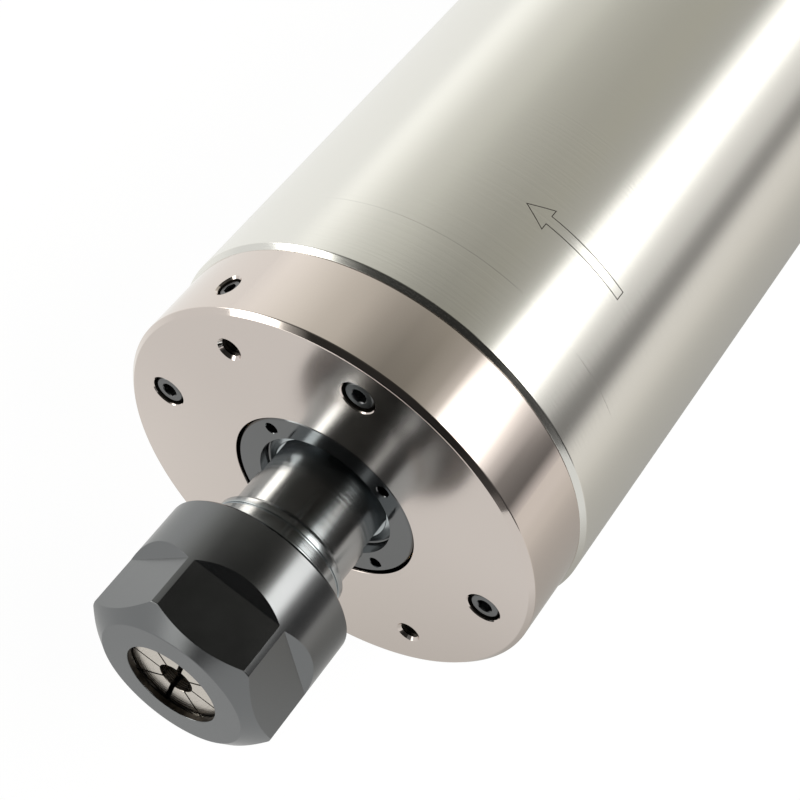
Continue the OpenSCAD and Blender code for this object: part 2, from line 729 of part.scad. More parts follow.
// Spindle shaft: taper mouth, thread, collar, neck with flats, journals, rotor seat
module shaft() color("#bfc1c2")
    difference() {
        turned([
            [0, 3], [5, 3], [6, 0], [6, collet_rear_y + 2], [taper_r(collet_rear_y + 2) + run_gap,
            collet_rear_y + 2], [taper_r(-nose_reach) + run_gap, -nose_reach],
            [nose_r - 0.5, -nose_reach], [nose_r, 0.5 - nose_reach], [nose_r, -neck_len - 4.4],
            [nose_r - 0.3, -neck_len - 4.2], [nose_r - 0.3, -neck_len - 2.6],
            [nose_r - 0.6, -neck_len - 2.5], [nose_r - 0.6, -neck_len - 2.2],
            [nose_r - 0.35, -neck_len - 2.1], [nose_r - 0.35, -neck_len - 1],
            [neck_r, -neck_len], [neck_r, lock_sink + 1.9], [nose_r - 0.2, lock_sink + 2.3],
            [journal_r - 0.05, lock_sink + 2.5], [journal_r, bearing_y], [journal_r, bearing_end + seat],
            [seat_r + 2.5, bearing_end + seat], [seat_r + 2.5, balance_y - seat],
            [seat_r - slip, balance_y - seat], [seat_r - slip, rear_balance_end + 0.5],
            [seat_r - 3, rear_balance_end + 0.5], [rear_journal_r + 2.5, rear1_y - 3],
            [rear_journal_r + 2.5, rear1_y], [rear_journal_r, rear1_y], [rear_journal_r, shaft_end - 1],
            [rear_journal_r - 1, shaft_end], [0, shaft_end]
        ]);
        for (s = [0, 180]) at(flats_turn + s)
            translate([neck_flats / 2, -4.6, -neck_d / 2])
                cube([neck_d, 4.6 + lock_sink + 1.8, neck_d]);
    }
neck_r = neck_d / 2;
nose_r = nose_d / 2;
shaft_end = jacket_end + 8;
balance_y = stator_y - end_ring_len - balance_len - 3 * seat;
rear_balance_end = stator_end + end_ring_len + balance_len + 3 * seat;

// Lock ring on the shaft, with holes for a pin spanner
module lock_ring() color("#66696c")
    difference() {
        turned([
            [journal_r + 0.25, lock_sink], [lock_d / 2 - 0.3, lock_sink], [lock_d / 2, lock_sink + 0.3],
            [lock_d / 2, lock_sink + lock_len], [journal_r + slip, lock_sink + lock_len],
            [journal_r + slip, lock_sink + 2.6], [journal_r + 0.25, lock_sink + 2.4]
        ]);
        around(lock_holes, lock_turn, lock_hole_circle / 2)
            rod(lock_hole_d / 2, -eps, lock_sink + lock_hole_depth);
    }

// Inner rings of the two front bearings
module front_inner_rings() color("#c4c6c9") {
    inner_ring(front_bore, front_w, front_pitch, front_ball, bearing_y + seat);
    inner_ring(front_bore, front_w - 2 * seat, front_pitch, front_ball, bearing2_y + seat);
}

// Spacer between the front inner rings
module front_inner_spacer() color("#9a9da1")
    band(front_bore / 2, front_pitch - front_ball * 0.4, bearing_y + front_w + 2 * seat, bearing2_y);

// Brass balance rings at the rotor's ends
module front_balance_ring() color("#b79b4b")
    band(seat_r, seat_r + 3.2, balance_y, balance_y + balance_len);
module rear_balance_ring() color("#b79b4b")
    band(seat_r, seat_r + 3.2, rear_balance_end - balance_len, rear_balance_end);

// Laminated rotor core
module rotor_core() color("#6e7074")
    band(seat_r, rotor_r, stator_y, stator_end);

// Cast end rings of the rotor's cage
module rotor_end_rings() color("#c0c2c4") {
    band(seat_r, rotor_r - 0.4, stator_y - end_ring_len - seat, stator_y - seat);
    band(seat_r, rotor_r - 0.4, stator_end + seat, stator_end + end_ring_len + seat);
}

// Inner rings of the two rear bearings
module rear_inner_rings() color("#c4c6c9") {
    inner_ring(rear_bore, rear_w - seat, rear_pitch, rear_ball, rear1_y + seat);
    inner_ring(rear_bore, rear_w - 2 * seat, rear_pitch, rear_ball, rear2_y + seat);
}

// Spacer between the rear inner rings
module rear_inner_spacer() color("#9a9da1")
    band(rear_bore / 2, rear_pitch - rear_ball * 0.4, rear1_y + rear_w + seat, rear2_y);

// Nut that clamps the rear inner rings on the shaft
module rear_lock_nut() color("#5a5c60")
    difference() {
        band(rear_journal_r + slip, shaft_room - 1, jacket_end + seat, jacket_end + lock_nut_len);
        around(4) translate([shaft_room - 2.5, jacket_end - eps, -lock_nut_slot / 2])
            cube([3, lock_nut_len + 2 * eps, lock_nut_slot]);
    }

// Balls and cages, which roll round the shaft at part of its speed
module front_balls() color("#d8dadc")
    for (y = [bearing_y + seat + front_w / 2, bearing2_y + front_w / 2])
        balls(front_balls, front_pitch, front_ball, y);
module front_cages() color("#b9965a")
    for (y = [bearing_y + seat + front_w / 2, bearing2_y + front_w / 2])
        cage(front_balls, front_w, front_pitch, front_ball, y);
module rear_balls() color("#d8dadc")
    for (y = [rear1_y + (rear_w + seat) / 2, rear2_y + rear_w / 2])
        balls(rear_balls, rear_pitch, rear_ball, y);
module rear_cages() color("#b9965a")
    for (y = [rear1_y + (rear_w + seat) / 2, rear2_y + rear_w / 2])
        cage(rear_balls, rear_w, rear_pitch, rear_ball, y);

// Collet: short front cone, groove, long taper, slits from both ends
module collet() color("#c5bfb8")
    difference() {
        turned([
            [collet_bore / 2, collet_y], [collet_face_r, collet_y],
            [collet_face_r + 1.6 * seat_slope, collet_y + 1.6], [collet_face_r + 1.6 * seat_slope, groove_y],
            [groove_r, groove_y + 0.2], [groove_r, groove_y + groove_w],
            [collet_r - 0.2, groove_y + groove_w], [collet_r, collet_max_y],
            [taper_r(collet_rear_y), collet_rear_y], [collet_bore / 2, collet_rear_y]
        ]);
        for (i = [0:collet_slits - 1]) {
            w = i % (collet_slits / 2) == 0 ? wide_slit_w : slit_w;
            at(slit_turn + i * 360 / collet_slits)
                translate([0, collet_y - eps, -w / 2]) cube([collet_d, collet_len - 4, w]);
        }
        around(collet_slits, slit_turn + 180 / collet_slits)
            translate([0, collet_y + 7.5, -slit_w / 2]) cube([collet_d, collet_len, slit_w]);
    }

// Collet nut: six milled flats with sloped run-outs and a conical front
module collet_nut() color("#3a3d40") {
    front = -nut_reach;
    rear = front + nut_len;
    flat_end = front + nut_flat_len;
    rise = nut_d;
    difference() {
        turned([
            [nut_mouth_d / 2, front], [nut_face_d / 2, front], [nut_d / 2, front + nut_cone],
            [nut_d / 2, rear - nut_bevel], [nut_d / 2 - nut_bevel, rear], [nut_bore_d / 2 + 0.6, rear],
            [nut_bore_d / 2, rear - 0.6], [nut_bore_d / 2, nut_step], [ring_seat_r, nut_step],
            [ring_seat_r, groove_y + 0.1], [nut_seat_r(groove_y + 0.1), groove_y + 0.1],
            [nut_seat_r(front + nut_land), front + nut_land], [nut_mouth_d / 2, front + nut_land]
        ]);
        around(6, nut_turn)
            translate([0, 0, -nut_d]) linear_extrude(2 * nut_d)
                polygon([
                    [nut_flats / 2, front - 1], [nut_flats / 2, flat_end],
                    [nut_flats / 2 + rise * nut_runout, flat_end + rise],
                    [nut_flats / 2 + rise * nut_runout, front - 1]
                ]);
    }
}
nut_step = -nose_reach - 1;
function nut_seat_r(y) = collet_face_r + (y - collet_y) * seat_slope + run_gap;

// Ring in the nut that grips the collet's groove and draws the collet out
module extraction_ring() color("#7c7f83")
    band(groove_r + ring_gap, ring_seat_r - slip, groove_y + 0.35, groove_y + groove_w - ring_gap);

outer_tube();
front_cover();
front_cover_screws();
side_plug_screw();
front_cover_seal();
water_jacket();
stator_core();
stator_windings();
lead_wires();
front_outer_rings();
front_outer_spacer();
bearing_clamp_ring();
clamp_ring_screws();
rear_carrier();
carrier_seal();
preload_springs();
rear_outer_rings();
rear_outer_spacer();
rear_cover();
rear_cover_screws();
rear_cover_seal();
hose_fittings();
fitting_washers();
socket_shell();
socket_insulator();
socket_pins();
shaft();
lock_ring();
front_inner_rings();
front_inner_spacer();
front_balance_ring();
rotor_core();
rotor_end_rings();
rear_balance_ring();
rear_inner_rings();
rear_inner_spacer();
rear_lock_nut();
front_balls();
front_cages();
rear_balls();
rear_cages();
collet();
collet_nut();
extraction_ring();
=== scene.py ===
"""Water-cooled motor spindle with a collet nose, dressed for a studio photograph."""

import math

import bmesh
import bpy
from mathutils import Matrix, Vector


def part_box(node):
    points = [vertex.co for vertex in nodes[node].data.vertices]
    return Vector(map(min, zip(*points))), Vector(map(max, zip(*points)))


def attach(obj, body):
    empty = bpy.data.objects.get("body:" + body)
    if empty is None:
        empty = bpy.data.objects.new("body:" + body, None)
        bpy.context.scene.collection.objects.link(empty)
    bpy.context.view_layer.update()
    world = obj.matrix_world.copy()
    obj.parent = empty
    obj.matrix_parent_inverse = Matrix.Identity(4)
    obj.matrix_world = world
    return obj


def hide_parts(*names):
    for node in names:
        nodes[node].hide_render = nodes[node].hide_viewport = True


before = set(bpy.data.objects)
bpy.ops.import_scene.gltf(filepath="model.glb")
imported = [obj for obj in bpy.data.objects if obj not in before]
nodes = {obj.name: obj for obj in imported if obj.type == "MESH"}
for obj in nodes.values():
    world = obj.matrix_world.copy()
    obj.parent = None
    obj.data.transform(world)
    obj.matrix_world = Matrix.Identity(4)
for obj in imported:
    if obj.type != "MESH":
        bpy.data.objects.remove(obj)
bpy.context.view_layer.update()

# The studio
# A white table in front of a white wall. A long strip lamp hangs over the right shoulder of
# the spindle, white screens stand on the left, and the ceiling over the table is unlit.

TABLE_Z = -0.040
TABLE_R = 4.0
CAMERA_AT = (0.04613, -0.14337, 0.26271)
CAMERA_RIGHT = (0.82080, 0.53643, 0.19630)
CAMERA_UP = (-0.55176, 0.65560, 0.51553)
CAMERA_BACK = (0.14785, -0.53145, 0.83408)
CAMERA_LENS = 83.45


def paint(code):
    """An sRGB hex colour as the linear colour that a shader takes."""
    parts = [int(code[i : i + 2], 16) / 255 for i in (1, 3, 5)]
    return tuple(c / 12.92 if c <= 0.04045 else ((c + 0.055) / 1.055) ** 2.4 for c in parts) + (1.0,)


def add_node(tree, kind, inputs=None, **settings):
    """Adds a shader node with its settings; an input given as a socket is linked."""
    made = tree.nodes.new("ShaderNode" + kind)
    for name, value in settings.items():
        setattr(made, name, value)
    for name, value in (inputs or {}).items():
        if isinstance(value, bpy.types.NodeSocket):
            tree.links.new(value, made.inputs[name])
        else:
            made.inputs[name].default_value = value
    return made


def ramp_stops(ramp, stops):
    """Sets a colour ramp's stops from (place, grey or colour) pairs."""
    elements = ramp.color_ramp.elements
    while len(elements) > 1:
        elements.remove(elements[-1])
    for i, (place, colour) in enumerate(stops):
        element = elements[0] if i == 0 else elements.new(place)
        element.position = place
        element.color = colour if isinstance(colour, tuple) else (colour, colour, colour, 1.0)


def bare_material(name):
    """A new material and its node tree, which is empty."""
    material = bpy.data.materials.new(name)
    material.use_nodes = True
    material.node_tree.nodes.clear()
    return material, material.node_tree


def placed(name, bm):
    """The object of a finished mesh, put into the scene."""
    mesh = bpy.data.meshes.new(name)
    bm.to_mesh(mesh)
    bm.free()
    piece = bpy.data.objects.new(name, mesh)
    bpy.context.scene.collection.objects.link(piece)
    return piece


camera_data = bpy.data.cameras.new("camera")
camera_data.lens = CAMERA_LENS
camera_data.clip_start = 0.01
camera = bpy.data.objects.new("camera", camera_data)
turn = Matrix((CAMERA_RIGHT, CAMERA_UP, CAMERA_BACK)).transposed().to_4x4()
camera.matrix_world = Matrix.Translation(CAMERA_AT) @ turn
bpy.context.scene.collection.objects.link(camera)
bpy.context.scene.camera = camera
bpy.context.scene.view_settings.view_transform = "Standard"

# The room's light by direction. Each band holds the brightness round the spindle's axis, from
# the right (0) over the ceiling (0.5) to the left (1), at one slant towards the far end.
AHEAD = [
    (0.00, 0.30), (0.05, 0.06), (0.20, 0.02), (0.80, 0.03), (0.88, 0.60), (0.92, 2.00), (1.00, 2.00),
]
NEARBY = [
    (0.00, 0.06), (0.03, 0.02), (0.12, 0.08), (0.20, 0.16), (0.25, 0.75), (0.285, 0.60), (0.31, 0.03),
    (0.46, 0.03), (0.60, 0.05), (0.76, 0.05), (0.84, 0.15), (0.87, 1.00), (0.895, 4.60), (0.98, 4.60),
    (1.00, 3.00),
]
OVER_NUT = [
    (0.00, 0.26), (0.02, 0.19), (0.10, 0.07), (0.15, 0.19), (0.19, 0.72), (0.235, 4.40), (0.33, 4.40),
    (0.355, 0.95), (0.385, 0.34), (0.42, 0.06), (0.48, 0.04), (0.65, 0.08), (0.745, 0.145),
    (0.83, 0.42), (0.92, 0.80), (1.00, 0.96),
]
OVER_COVER = [
    (0.00, 0.66), (0.035, 0.155), (0.105, 0.27), (0.15, 0.80), (0.18, 1.45), (0.22, 3.00),
    (0.33, 3.00), (0.36, 0.85), (0.395, 0.45), (0.465, 0.25), (0.54, 0.245), (0.61, 0.385),
    (0.685, 0.64), (0.755, 0.72), (0.83, 0.90), (0.90, 1.02), (0.95, 1.06), (1.00, 1.00),
]
OVER_TUBE = [
    (0.00, 0.64), (0.035, 0.22), (0.07, 0.36), (0.105, 0.74), (0.16, 0.80), (0.19, 0.95),
    (0.215, 1.50), (0.24, 2.50), (0.285, 2.00), (0.305, 1.10), (0.33, 0.72), (0.35, 0.52), (0.37, 0.44),
    (0.46, 0.46), (0.54, 0.46), (0.62, 0.50), (0.69, 0.56), (0.755, 0.70), (0.83, 0.78), (0.90, 1.03),
    (0.955, 1.24), (1.00, 1.02),
]
BANDS = [AHEAD, NEARBY, OVER_NUT, OVER_COVER, OVER_TUBE]
# Where one band turns into the next, by how far a direction points to the spindle's far end.
MEETING = [(-0.72, -0.62), (-0.30, -0.10), (0.43, 0.53), (0.53, 0.61)]
# A ramp's colours end at 1, so the levels are divided by this, and the light is multiplied by it.
RAMP_TOP = 6.0
# The ceiling is warm, the strip lamp and the left side are nearly neutral.
TINTS = [
    (0.00, (1.00, 0.965, 0.93)), (0.20, (1.00, 0.985, 0.95)), (0.34, (1.00, 0.99, 0.95)),
    (0.42, (1.00, 0.97, 0.84)), (0.75, (1.00, 0.985, 0.90)), (1.00, (1.00, 1.00, 0.97)),
]


def tint_at(place):
    """The room's tint at a place of a band."""
    for (a, first), (b, second) in zip(TINTS, TINTS[1:]):
        if place <= b:
            share = (place - a) / (b - a)
            return tuple(c + (d - c) * share for c, d in zip(first, second))
    return TINTS[-1][1]


world = bpy.data.worlds.new("studio_room")
world.use_nodes = True
bpy.context.scene.world = world
room = world.node_tree
room.nodes.clear()
# The turn of each direction round the spindle's axis, from 0 to 1. Below the table it is level.
way = add_node(room, "SeparateXYZ", {"Vector": add_node(room, "TexCoord").outputs["Generated"]})
lift = add_node(room, "Math", {0: way.outputs["Z"], 1: 0.0}, operation="MAXIMUM")
around = add_node(room, "Math", {0: lift.outputs[0], 1: way.outputs["X"]}, operation="ARCTAN2")
part_way = add_node(room, "Math", {0: around.outputs[0], 1: math.pi}, operation="DIVIDE")
blended = None
for i, stops in enumerate(BANDS):
    ramp = add_node(room, "ValToRGB", {"Fac": part_way.outputs[0]})
    ramp_stops(ramp, [
        (place, tuple(level / RAMP_TOP * c for c in tint_at(place)) + (1.0,)) for place, level in stops
    ])
    if blended is None:
        blended = ramp.outputs["Color"]
        continue
    low, high = MEETING[i - 1]
    step = add_node(
        room, "MapRange", {"Value": way.outputs["Y"], "From Min": low, "From Max": high},
        interpolation_type="SMOOTHSTEP",
    )
    blended = add_node(
        room, "Mix", {0: step.outputs[0], 6: blended, 7: ramp.outputs["Color"]}, data_type="RGBA"
    ).outputs[2]
light = add_node(room, "Background", {"Color": blended, "Strength": RAMP_TOP})
white = add_node(room, "Background", {"Color": (1, 1, 1, 1), "Strength": 1.0})
seen = add_node(room, "LightPath")
sky = add_node(
    room, "MixShader", {0: seen.outputs["Is Camera Ray"], 1: light.outputs[0], 2: white.outputs[0]}
)
add_node(room, "OutputWorld", {"Surface": sky.outputs[0]})

# The table: painted white board. Metal sees painted light on its left and painted shade on its right.
bm = bmesh.new()
bmesh.ops.create_circle(bm, cap_ends=True, segments=64, radius=TABLE_R)
table = placed("table", bm)
table.location.z = TABLE_Z

# The board is a little over white to the camera, and its small dull share takes the shadow.
# Its painted light and shade, for metal only, runs over the middle 0.8 m, and is even in front of the
# spindle.
TABLE_WHITE = 1.045
OWN_GLOW = 0.93
PAINTED_LIGHT_REACH = 0.4
FRONT_FROM = 0.01
FRONT_TO = -0.03
painted_board, tree = bare_material("painted_board")
spot = add_node(tree, "SeparateXYZ", {"Vector": add_node(tree, "NewGeometry").outputs["Position"]})
across = add_node(
    tree, "MapRange", {"Value": spot.outputs["X"], "From Min": -PAINTED_LIGHT_REACH, "From Max": PAINTED_LIGHT_REACH}
)
# Painted light on the left, a painted shadow just right of the spindle, and a warm grey further right.
painted_light_and_shade = add_node(tree, "ValToRGB", {"Fac": across.outputs[0]})
ramp_stops(painted_light_and_shade, [
    (0.0, paint("#FFFFFC")), (0.45, paint("#FFFFFC")), (0.52, paint("#CECDC8")),
    (0.56, paint("#ADABA6")), (0.64, paint("#C0BDB7")), (0.76, paint("#DFDBD4")), (1.0, paint("#ECE8E2")),
])
in_front = add_node(
    tree, "MapRange", {"Value": spot.outputs["Y"], "From Min": FRONT_FROM, "From Max": FRONT_TO}
)
painted_light_and_shade = add_node(
    tree, "Mix", {0: in_front.outputs[0], 6: painted_light_and_shade.outputs["Color"], 7: paint("#EAEAE8")},
    data_type="RGBA",
)
seen = add_node(tree, "LightPath")
mirrored = add_node(
    tree, "Math",
    {0: seen.outputs["Is Glossy Ray"], 1: seen.outputs["Is Transmission Ray"]}, operation="MAXIMUM",
)
shown = add_node(
    tree, "Mix",
    {0: mirrored.outputs[0], 6: (TABLE_WHITE, TABLE_WHITE, TABLE_WHITE, 1), 7: painted_light_and_shade.outputs[2]},
    data_type="RGBA",
)
glow = add_node(tree, "Emission", {"Color": shown.outputs[2], "Strength": 1.0})
board = add_node(tree, "BsdfDiffuse", {"Color": paint("#EDEDEB")})
direct = add_node(
    tree, "Math", {0: seen.outputs["Is Camera Ray"], 1: mirrored.outputs[0]}, operation="MAXIMUM"
)
share = add_node(tree, "Math", {0: direct.outputs[0], 1: OWN_GLOW}, operation="MULTIPLY")
both = add_node(tree, "MixShader", {0: share.outputs[0], 1: board.outputs[0], 2: glow.outputs[0]})
add_node(tree, "OutputMaterial", {"Surface": both.outputs[0]})
table.data.materials.append(painted_board)

# Tube
# A thick stainless tube, turned all over and bevelled at both ends. The clamp of the machine
# grips it. Its fine feed marks run round it, so lamps show as streaks along it.

MM = 0.001
# A rounding takes at most this share of the lines beside its corner, and a wide one gets more steps.
SHORT_OF_HALF = 0.48
WIDE_ROUNDING = 0.5


def soften(outline, steps=4):
    """Rounds the corners of an outline of (radius, y, rounding) points, in millimetres."""
    points = []
    for i, (radius, y, rounding) in enumerate(outline):
        corner = Vector((radius, y))
        if not rounding:
            points.append(corner)
            continue
        back = Vector(outline[i - 1][:2]) - corner
        on = Vector(outline[(i + 1) % len(outline)][:2]) - corner
        half = back.angle(on) / 2
        reach = min(rounding / math.tan(half), SHORT_OF_HALF * min(back.length, on.length))
        bend = reach * math.tan(half)
        centre = corner + (back.normalized() + on.normalized()).normalized() * (bend / math.sin(half))
        first = corner + back.normalized() * reach - centre
        last = corner + on.normalized() * reach - centre
        count = steps if rounding < WIDE_ROUNDING else 2 * steps
        for k in range(count + 1):
            points.append(centre + first.lerp(last, k / count).normalized() * bend)
    return points


def turned(name, outline, steps=256):
    """A solid turned round the Y axis from an outline in millimetres, as on a lathe."""
    bm = bmesh.new()
    rings = []
    for radius, y in soften(outline):
        ring = []
        for k in range(steps):
            a = 2 * math.pi * k / steps
            ring.append(bm.verts.new((radius * MM * math.cos(a), y * MM, radius * MM * math.sin(a))))
        rings.append(ring)
    for i, ring in enumerate(rings):
        onward = rings[(i + 1) % len(rings)]
        for k in range(steps):
            m = (k + 1) % steps
            bm.faces.new((ring[k], ring[m], onward[m], onward[k]))
    bmesh.ops.remove_doubles(bm, verts=bm.verts, dist=1e-8)
    bmesh.ops.dissolve_degenerate(bm, edges=bm.edges, dist=1e-9)
    bmesh.ops.recalc_face_normals(bm, faces=bm.faces)
    return placed(name, bm)


def smooth(piece, sharp=28):
    """Smooth shading that keeps edges sharper than this many degrees."""
    piece.data.shade_smooth()
    piece.data.set_sharp_from_angle(angle=math.radians(sharp))
    piece.modifiers.new("even_faces", "WEIGHTED_NORMAL").keep_sharp = True


def fit(piece, material, body, slot, *stands_for):
    """Gives a piece its finish, and mounts it on its body in place of CAD nodes."""
    piece.data.materials.clear()
    piece.data.materials.append(material)
    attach(piece, body)
    if stands_for:
        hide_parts(*stands_for)


# Nearly all of Blender's noise lies between these two values.
NOISE_LOW = 0.3
NOISE_HIGH = 0.7
# A face counts as flat, square to the axis, from this much of its normal along Y.
FACE_FROM = 0.8
FACE_TO = 0.95


def turning_lines(tree, pitch_mm):
    """Height of the fine lines that a lathe leaves, which run round the axis."""
    place = add_node(tree, "SeparateXYZ", {"Vector": add_node(tree, "TexCoord").outputs["Object"]})
    xx = add_node(tree, "Math", {0: place.outputs["X"], 1: 2.0}, operation="POWER")
    zz = add_node(tree, "Math", {0: place.outputs["Z"], 1: 2.0}, operation="POWER")
    total = add_node(tree, "Math", {0: xx.outputs[0], 1: zz.outputs[0]}, operation="ADD")
    out = add_node(tree, "Math", {0: total.outputs[0], 1: 0.5}, operation="POWER")
    along = add_node(tree, "Math", {0: out.outputs[0], 1: place.outputs["Y"]}, operation="ADD")
    lines = add_node(tree, "Math", {0: along.outputs[0], 1: 1000 / pitch_mm}, operation="MULTIPLY")
    return add_node(
        tree, "TexNoise", {"W": lines.outputs[0], "Scale": 1.0, "Detail": 3.0, "Roughness": 0.6},
        noise_dimensions="1D",
    ).outputs["Fac"]


def turned_metal(name, colour, roughness, spread, streak, pitch_mm, depth_mm, satin=0.0):
    """A metal turned on a lathe, with feed marks round the axis.

    streak draws its lights out along the axis, and satin is what flat faces add to its roughness.
    """
    material, tree = bare_material(name)
    height = turning_lines(tree, pitch_mm)
    rough = add_node(tree, "MapRange", {
        "Value": height, "From Min": NOISE_LOW, "From Max": NOISE_HIGH,
        "To Min": roughness - spread, "To Max": roughness + spread,
    })
    if satin:
        facing = add_node(tree, "SeparateXYZ", {"Vector": add_node(tree, "TexCoord").outputs["Normal"]})
        flat = add_node(tree, "Math", {0: facing.outputs["Y"]}, operation="ABSOLUTE")
        more = add_node(tree, "MapRange", {
            "Value": flat.outputs[0], "From Min": FACE_FROM, "From Max": FACE_TO, "To Max": satin,
        })
        rough = add_node(tree, "Math", {0: rough.outputs[0], 1: more.outputs[0]}, operation="ADD")
    bump = add_node(tree, "Bump", {"Height": height, "Strength": 1.0, "Distance": depth_mm * MM})
    tangent = add_node(tree, "Tangent", direction_type="RADIAL", axis="Y")
    skin = add_node(
        tree, "BsdfPrincipled",
        {
            "Base Color": paint(colour), "Metallic": 1.0, "Roughness": rough.outputs[0],
            "Anisotropic": streak, "Anisotropic Rotation": 0.25,
            "Normal": bump.outputs[0], "Tangent": tangent.outputs[0],
        },
    )
    add_node(tree, "OutputMaterial", {"Surface": skin.outputs[0]})
    return material


TUBE_LOW, TUBE_HIGH = (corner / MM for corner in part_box("outer_tube"))
PARTING_Y = 15.2
TUBE_WALL = 3.0
TUBE_BEVEL = 0.85
EDGE_ROUND = 0.3
# A hair-thin line is scribed round the tube, a little behind its front end.
SCRIBED_Y = 27.9
SCRIBED_W = 0.07
SCRIBED_DEEP = 0.018
# Turned stainless steel: a soft pale mirror, faintly warm, with long streaks of light.
turned_stainless = turned_metal("turned_stainless", "#E7E6E1", 0.17, 0.02, 0.85, 0.35, 0.0002)

tube_r = TUBE_HIGH.x
tube = turned("tube", [
    (tube_r - TUBE_WALL, PARTING_Y, 0), (tube_r - TUBE_BEVEL, PARTING_Y, EDGE_ROUND),
    (tube_r, PARTING_Y + TUBE_BEVEL, EDGE_ROUND),
    (tube_r, SCRIBED_Y - SCRIBED_W, 0), (tube_r - SCRIBED_DEEP, SCRIBED_Y, 0),
    (tube_r, SCRIBED_Y + SCRIBED_W, 0),
    (tube_r, TUBE_HIGH.y - TUBE_BEVEL, EDGE_ROUND),
    (tube_r - TUBE_BEVEL, TUBE_HIGH.y, EDGE_ROUND), (tube_r - TUBE_WALL, TUBE_HIGH.y, 0),
], 360)
smooth(tube)
fit(tube, turned_stainless, "housing", "ground_steel", "outer_tube")

# The arrow that shows which way the spindle turns: a thin outline burnt by a laser. Its tail,
# neck and tip are turns round the tube in degrees, from +X over +Z, and the rest millimetres.
BURNT_GRAIN_MM = 0.25
ARROW_Y = 42.1
ARROW_TAIL = 56.2
ARROW_NECK = 80.25
ARROW_TIP = 86.5
ARROW_SHAFT = 0.93
ARROW_HEAD = 2.3
ARROW_LINE = 0.17
ARROW_PROUD = 0.006


def laid_line(name, corners, width, radius, step=0.6):
    """A thin closed line on the tube through (turn, y) corners, as a narrow strip."""
    flat = [Vector((math.radians(a) * radius, y)) for a, y in corners]
    inner, outer = [], []
    for i, p in enumerate(flat):
        back = (p - flat[i - 1]).normalized()
        on = (flat[(i + 1) % len(flat)] - p).normalized()
        side = Vector((-back.y, back.x)) + Vector((-on.y, on.x))
        side = side / side.dot(Vector((-on.y, on.x)))
        inner.append(p + side * width / 2)
        outer.append(p - side * width / 2)
    bm = bmesh.new()

    def on_tube(q):
        a = q.x / radius
        return bm.verts.new((radius * MM * math.cos(a), q.y * MM, radius * MM * math.sin(a)))

    for i in range(len(flat)):
        j = (i + 1) % len(flat)
        count = max(1, int((flat[j] - flat[i]).length / step))
        rows = [
            (on_tube(inner[i].lerp(inner[j], k / count)), on_tube(outer[i].lerp(outer[j], k / count)))
            for k in range(count + 1)
        ]
        for (a, b), (c, d) in zip(rows, rows[1:]):
            bm.faces.new((a, b, d, c))
    bmesh.ops.remove_doubles(bm, verts=bm.verts, dist=1e-7)
    for face in bm.faces:
        face.normal_update()
        middle = face.calc_center_median()
        if face.normal.dot(Vector((middle.x, 0, middle.z))) < 0:
            face.normal_flip()
    return placed(name, bm)


# Steel burnt by the laser: a matt brown-black line, uneven in tone.
burnt_line, tree = bare_material("laser_burnt_steel")
grain = add_node(tree, "TexNoise", {"Scale": 1000 / BURNT_GRAIN_MM, "Detail": 2.0})
shade = add_node(tree, "ValToRGB", {"Fac": grain.outputs["Fac"]})
ramp_stops(shade, [(NOISE_LOW, paint("#2A2723")), (NOISE_HIGH, paint("#5A554E"))])
skin = add_node(tree, "BsdfPrincipled", {
    "Base Color": shade.outputs["Color"], "Metallic": 0.3, "Roughness": 0.6,
})
add_node(tree, "OutputMaterial", {"Surface": skin.outputs[0]})

arrow = laid_line("turning_arrow", [
    (ARROW_TAIL, ARROW_Y - ARROW_SHAFT), (ARROW_NECK, ARROW_Y - ARROW_SHAFT),
    (ARROW_NECK, ARROW_Y - ARROW_HEAD), (ARROW_TIP, ARROW_Y), (ARROW_NECK, ARROW_Y + ARROW_HEAD),
    (ARROW_NECK, ARROW_Y + ARROW_SHAFT), (ARROW_TAIL, ARROW_Y + ARROW_SHAFT),
], ARROW_LINE, tube_r + ARROW_PROUD)
fit(arrow, burnt_line, "housing", "black_steel")

# Front cover
# Turned from one bar: a rim that closes the tube, a flat face, and a sleeve inside that holds
# the front bearings. Screws sit in counterbores. Two ports are tapped in the face.

# The rim is a little smaller than the tube. A thin gap parts the two. Turns are in degrees.
COVER_STEP = 0.7
COVER_GAP = 0.12
COVER_BEVEL = 0.9
FACE_SCREWS = [0, 90, 180, 270]
PORTS = [135, 315]
SCREW_CIRCLE = 31.5
HEAD_HOLE_R = 3.0
HEAD_DEPTH = 3.4
HOLE_CHAMFER = 0.18
SHANK_HOLE_R = 1.8
SHANK_HOLE_END = 15.0
PORT_R = 1.72
PORT_MOUTH_R = 2.25
PORT_DEPTH = 9.0
DRILL_POINT = 0.8
THREAD_PITCH = 0.7
THREAD_GROOVE = 0.38
# The cross hole is drilled in from the rim at a port's turn, and tapped for the plug screw.
CROSS_Y = 6.2
CROSS_R = 1.25
CROSS_TAP_R = 2.05
CROSS_MOUTH_R = 2.75
CROSS_FROM = 16.0
CROSS_TAP_FROM = 33.8
CROSS_CHAMFER = 0.35
# The painted shade in the cross hole starts this far out from the axis.
CROSS_SHADE_FROM = 30.0
RING_HOLE_R = 17.4
RING_HOLE_DEPTH = 8.2
SPIGOT_R = 36.0
SLEEVE_R = 28.0
BEARING_SEAT_R = 23.55
FACE_EDGE = 0.12
# The painted shade in the face's holes starts this deep under the face.
HOLE_SHADE_FROM = 0.3


def at_turn(piece, angle, radius, y=0.0):
    """Moves a piece made round the Y axis out to a turn and a distance from the axis."""
    piece.data.transform(
        Matrix.Rotation(-math.radians(angle), 4, "Y") @ Matrix.Translation((radius * MM, y * MM, 0))
    )
    return piece


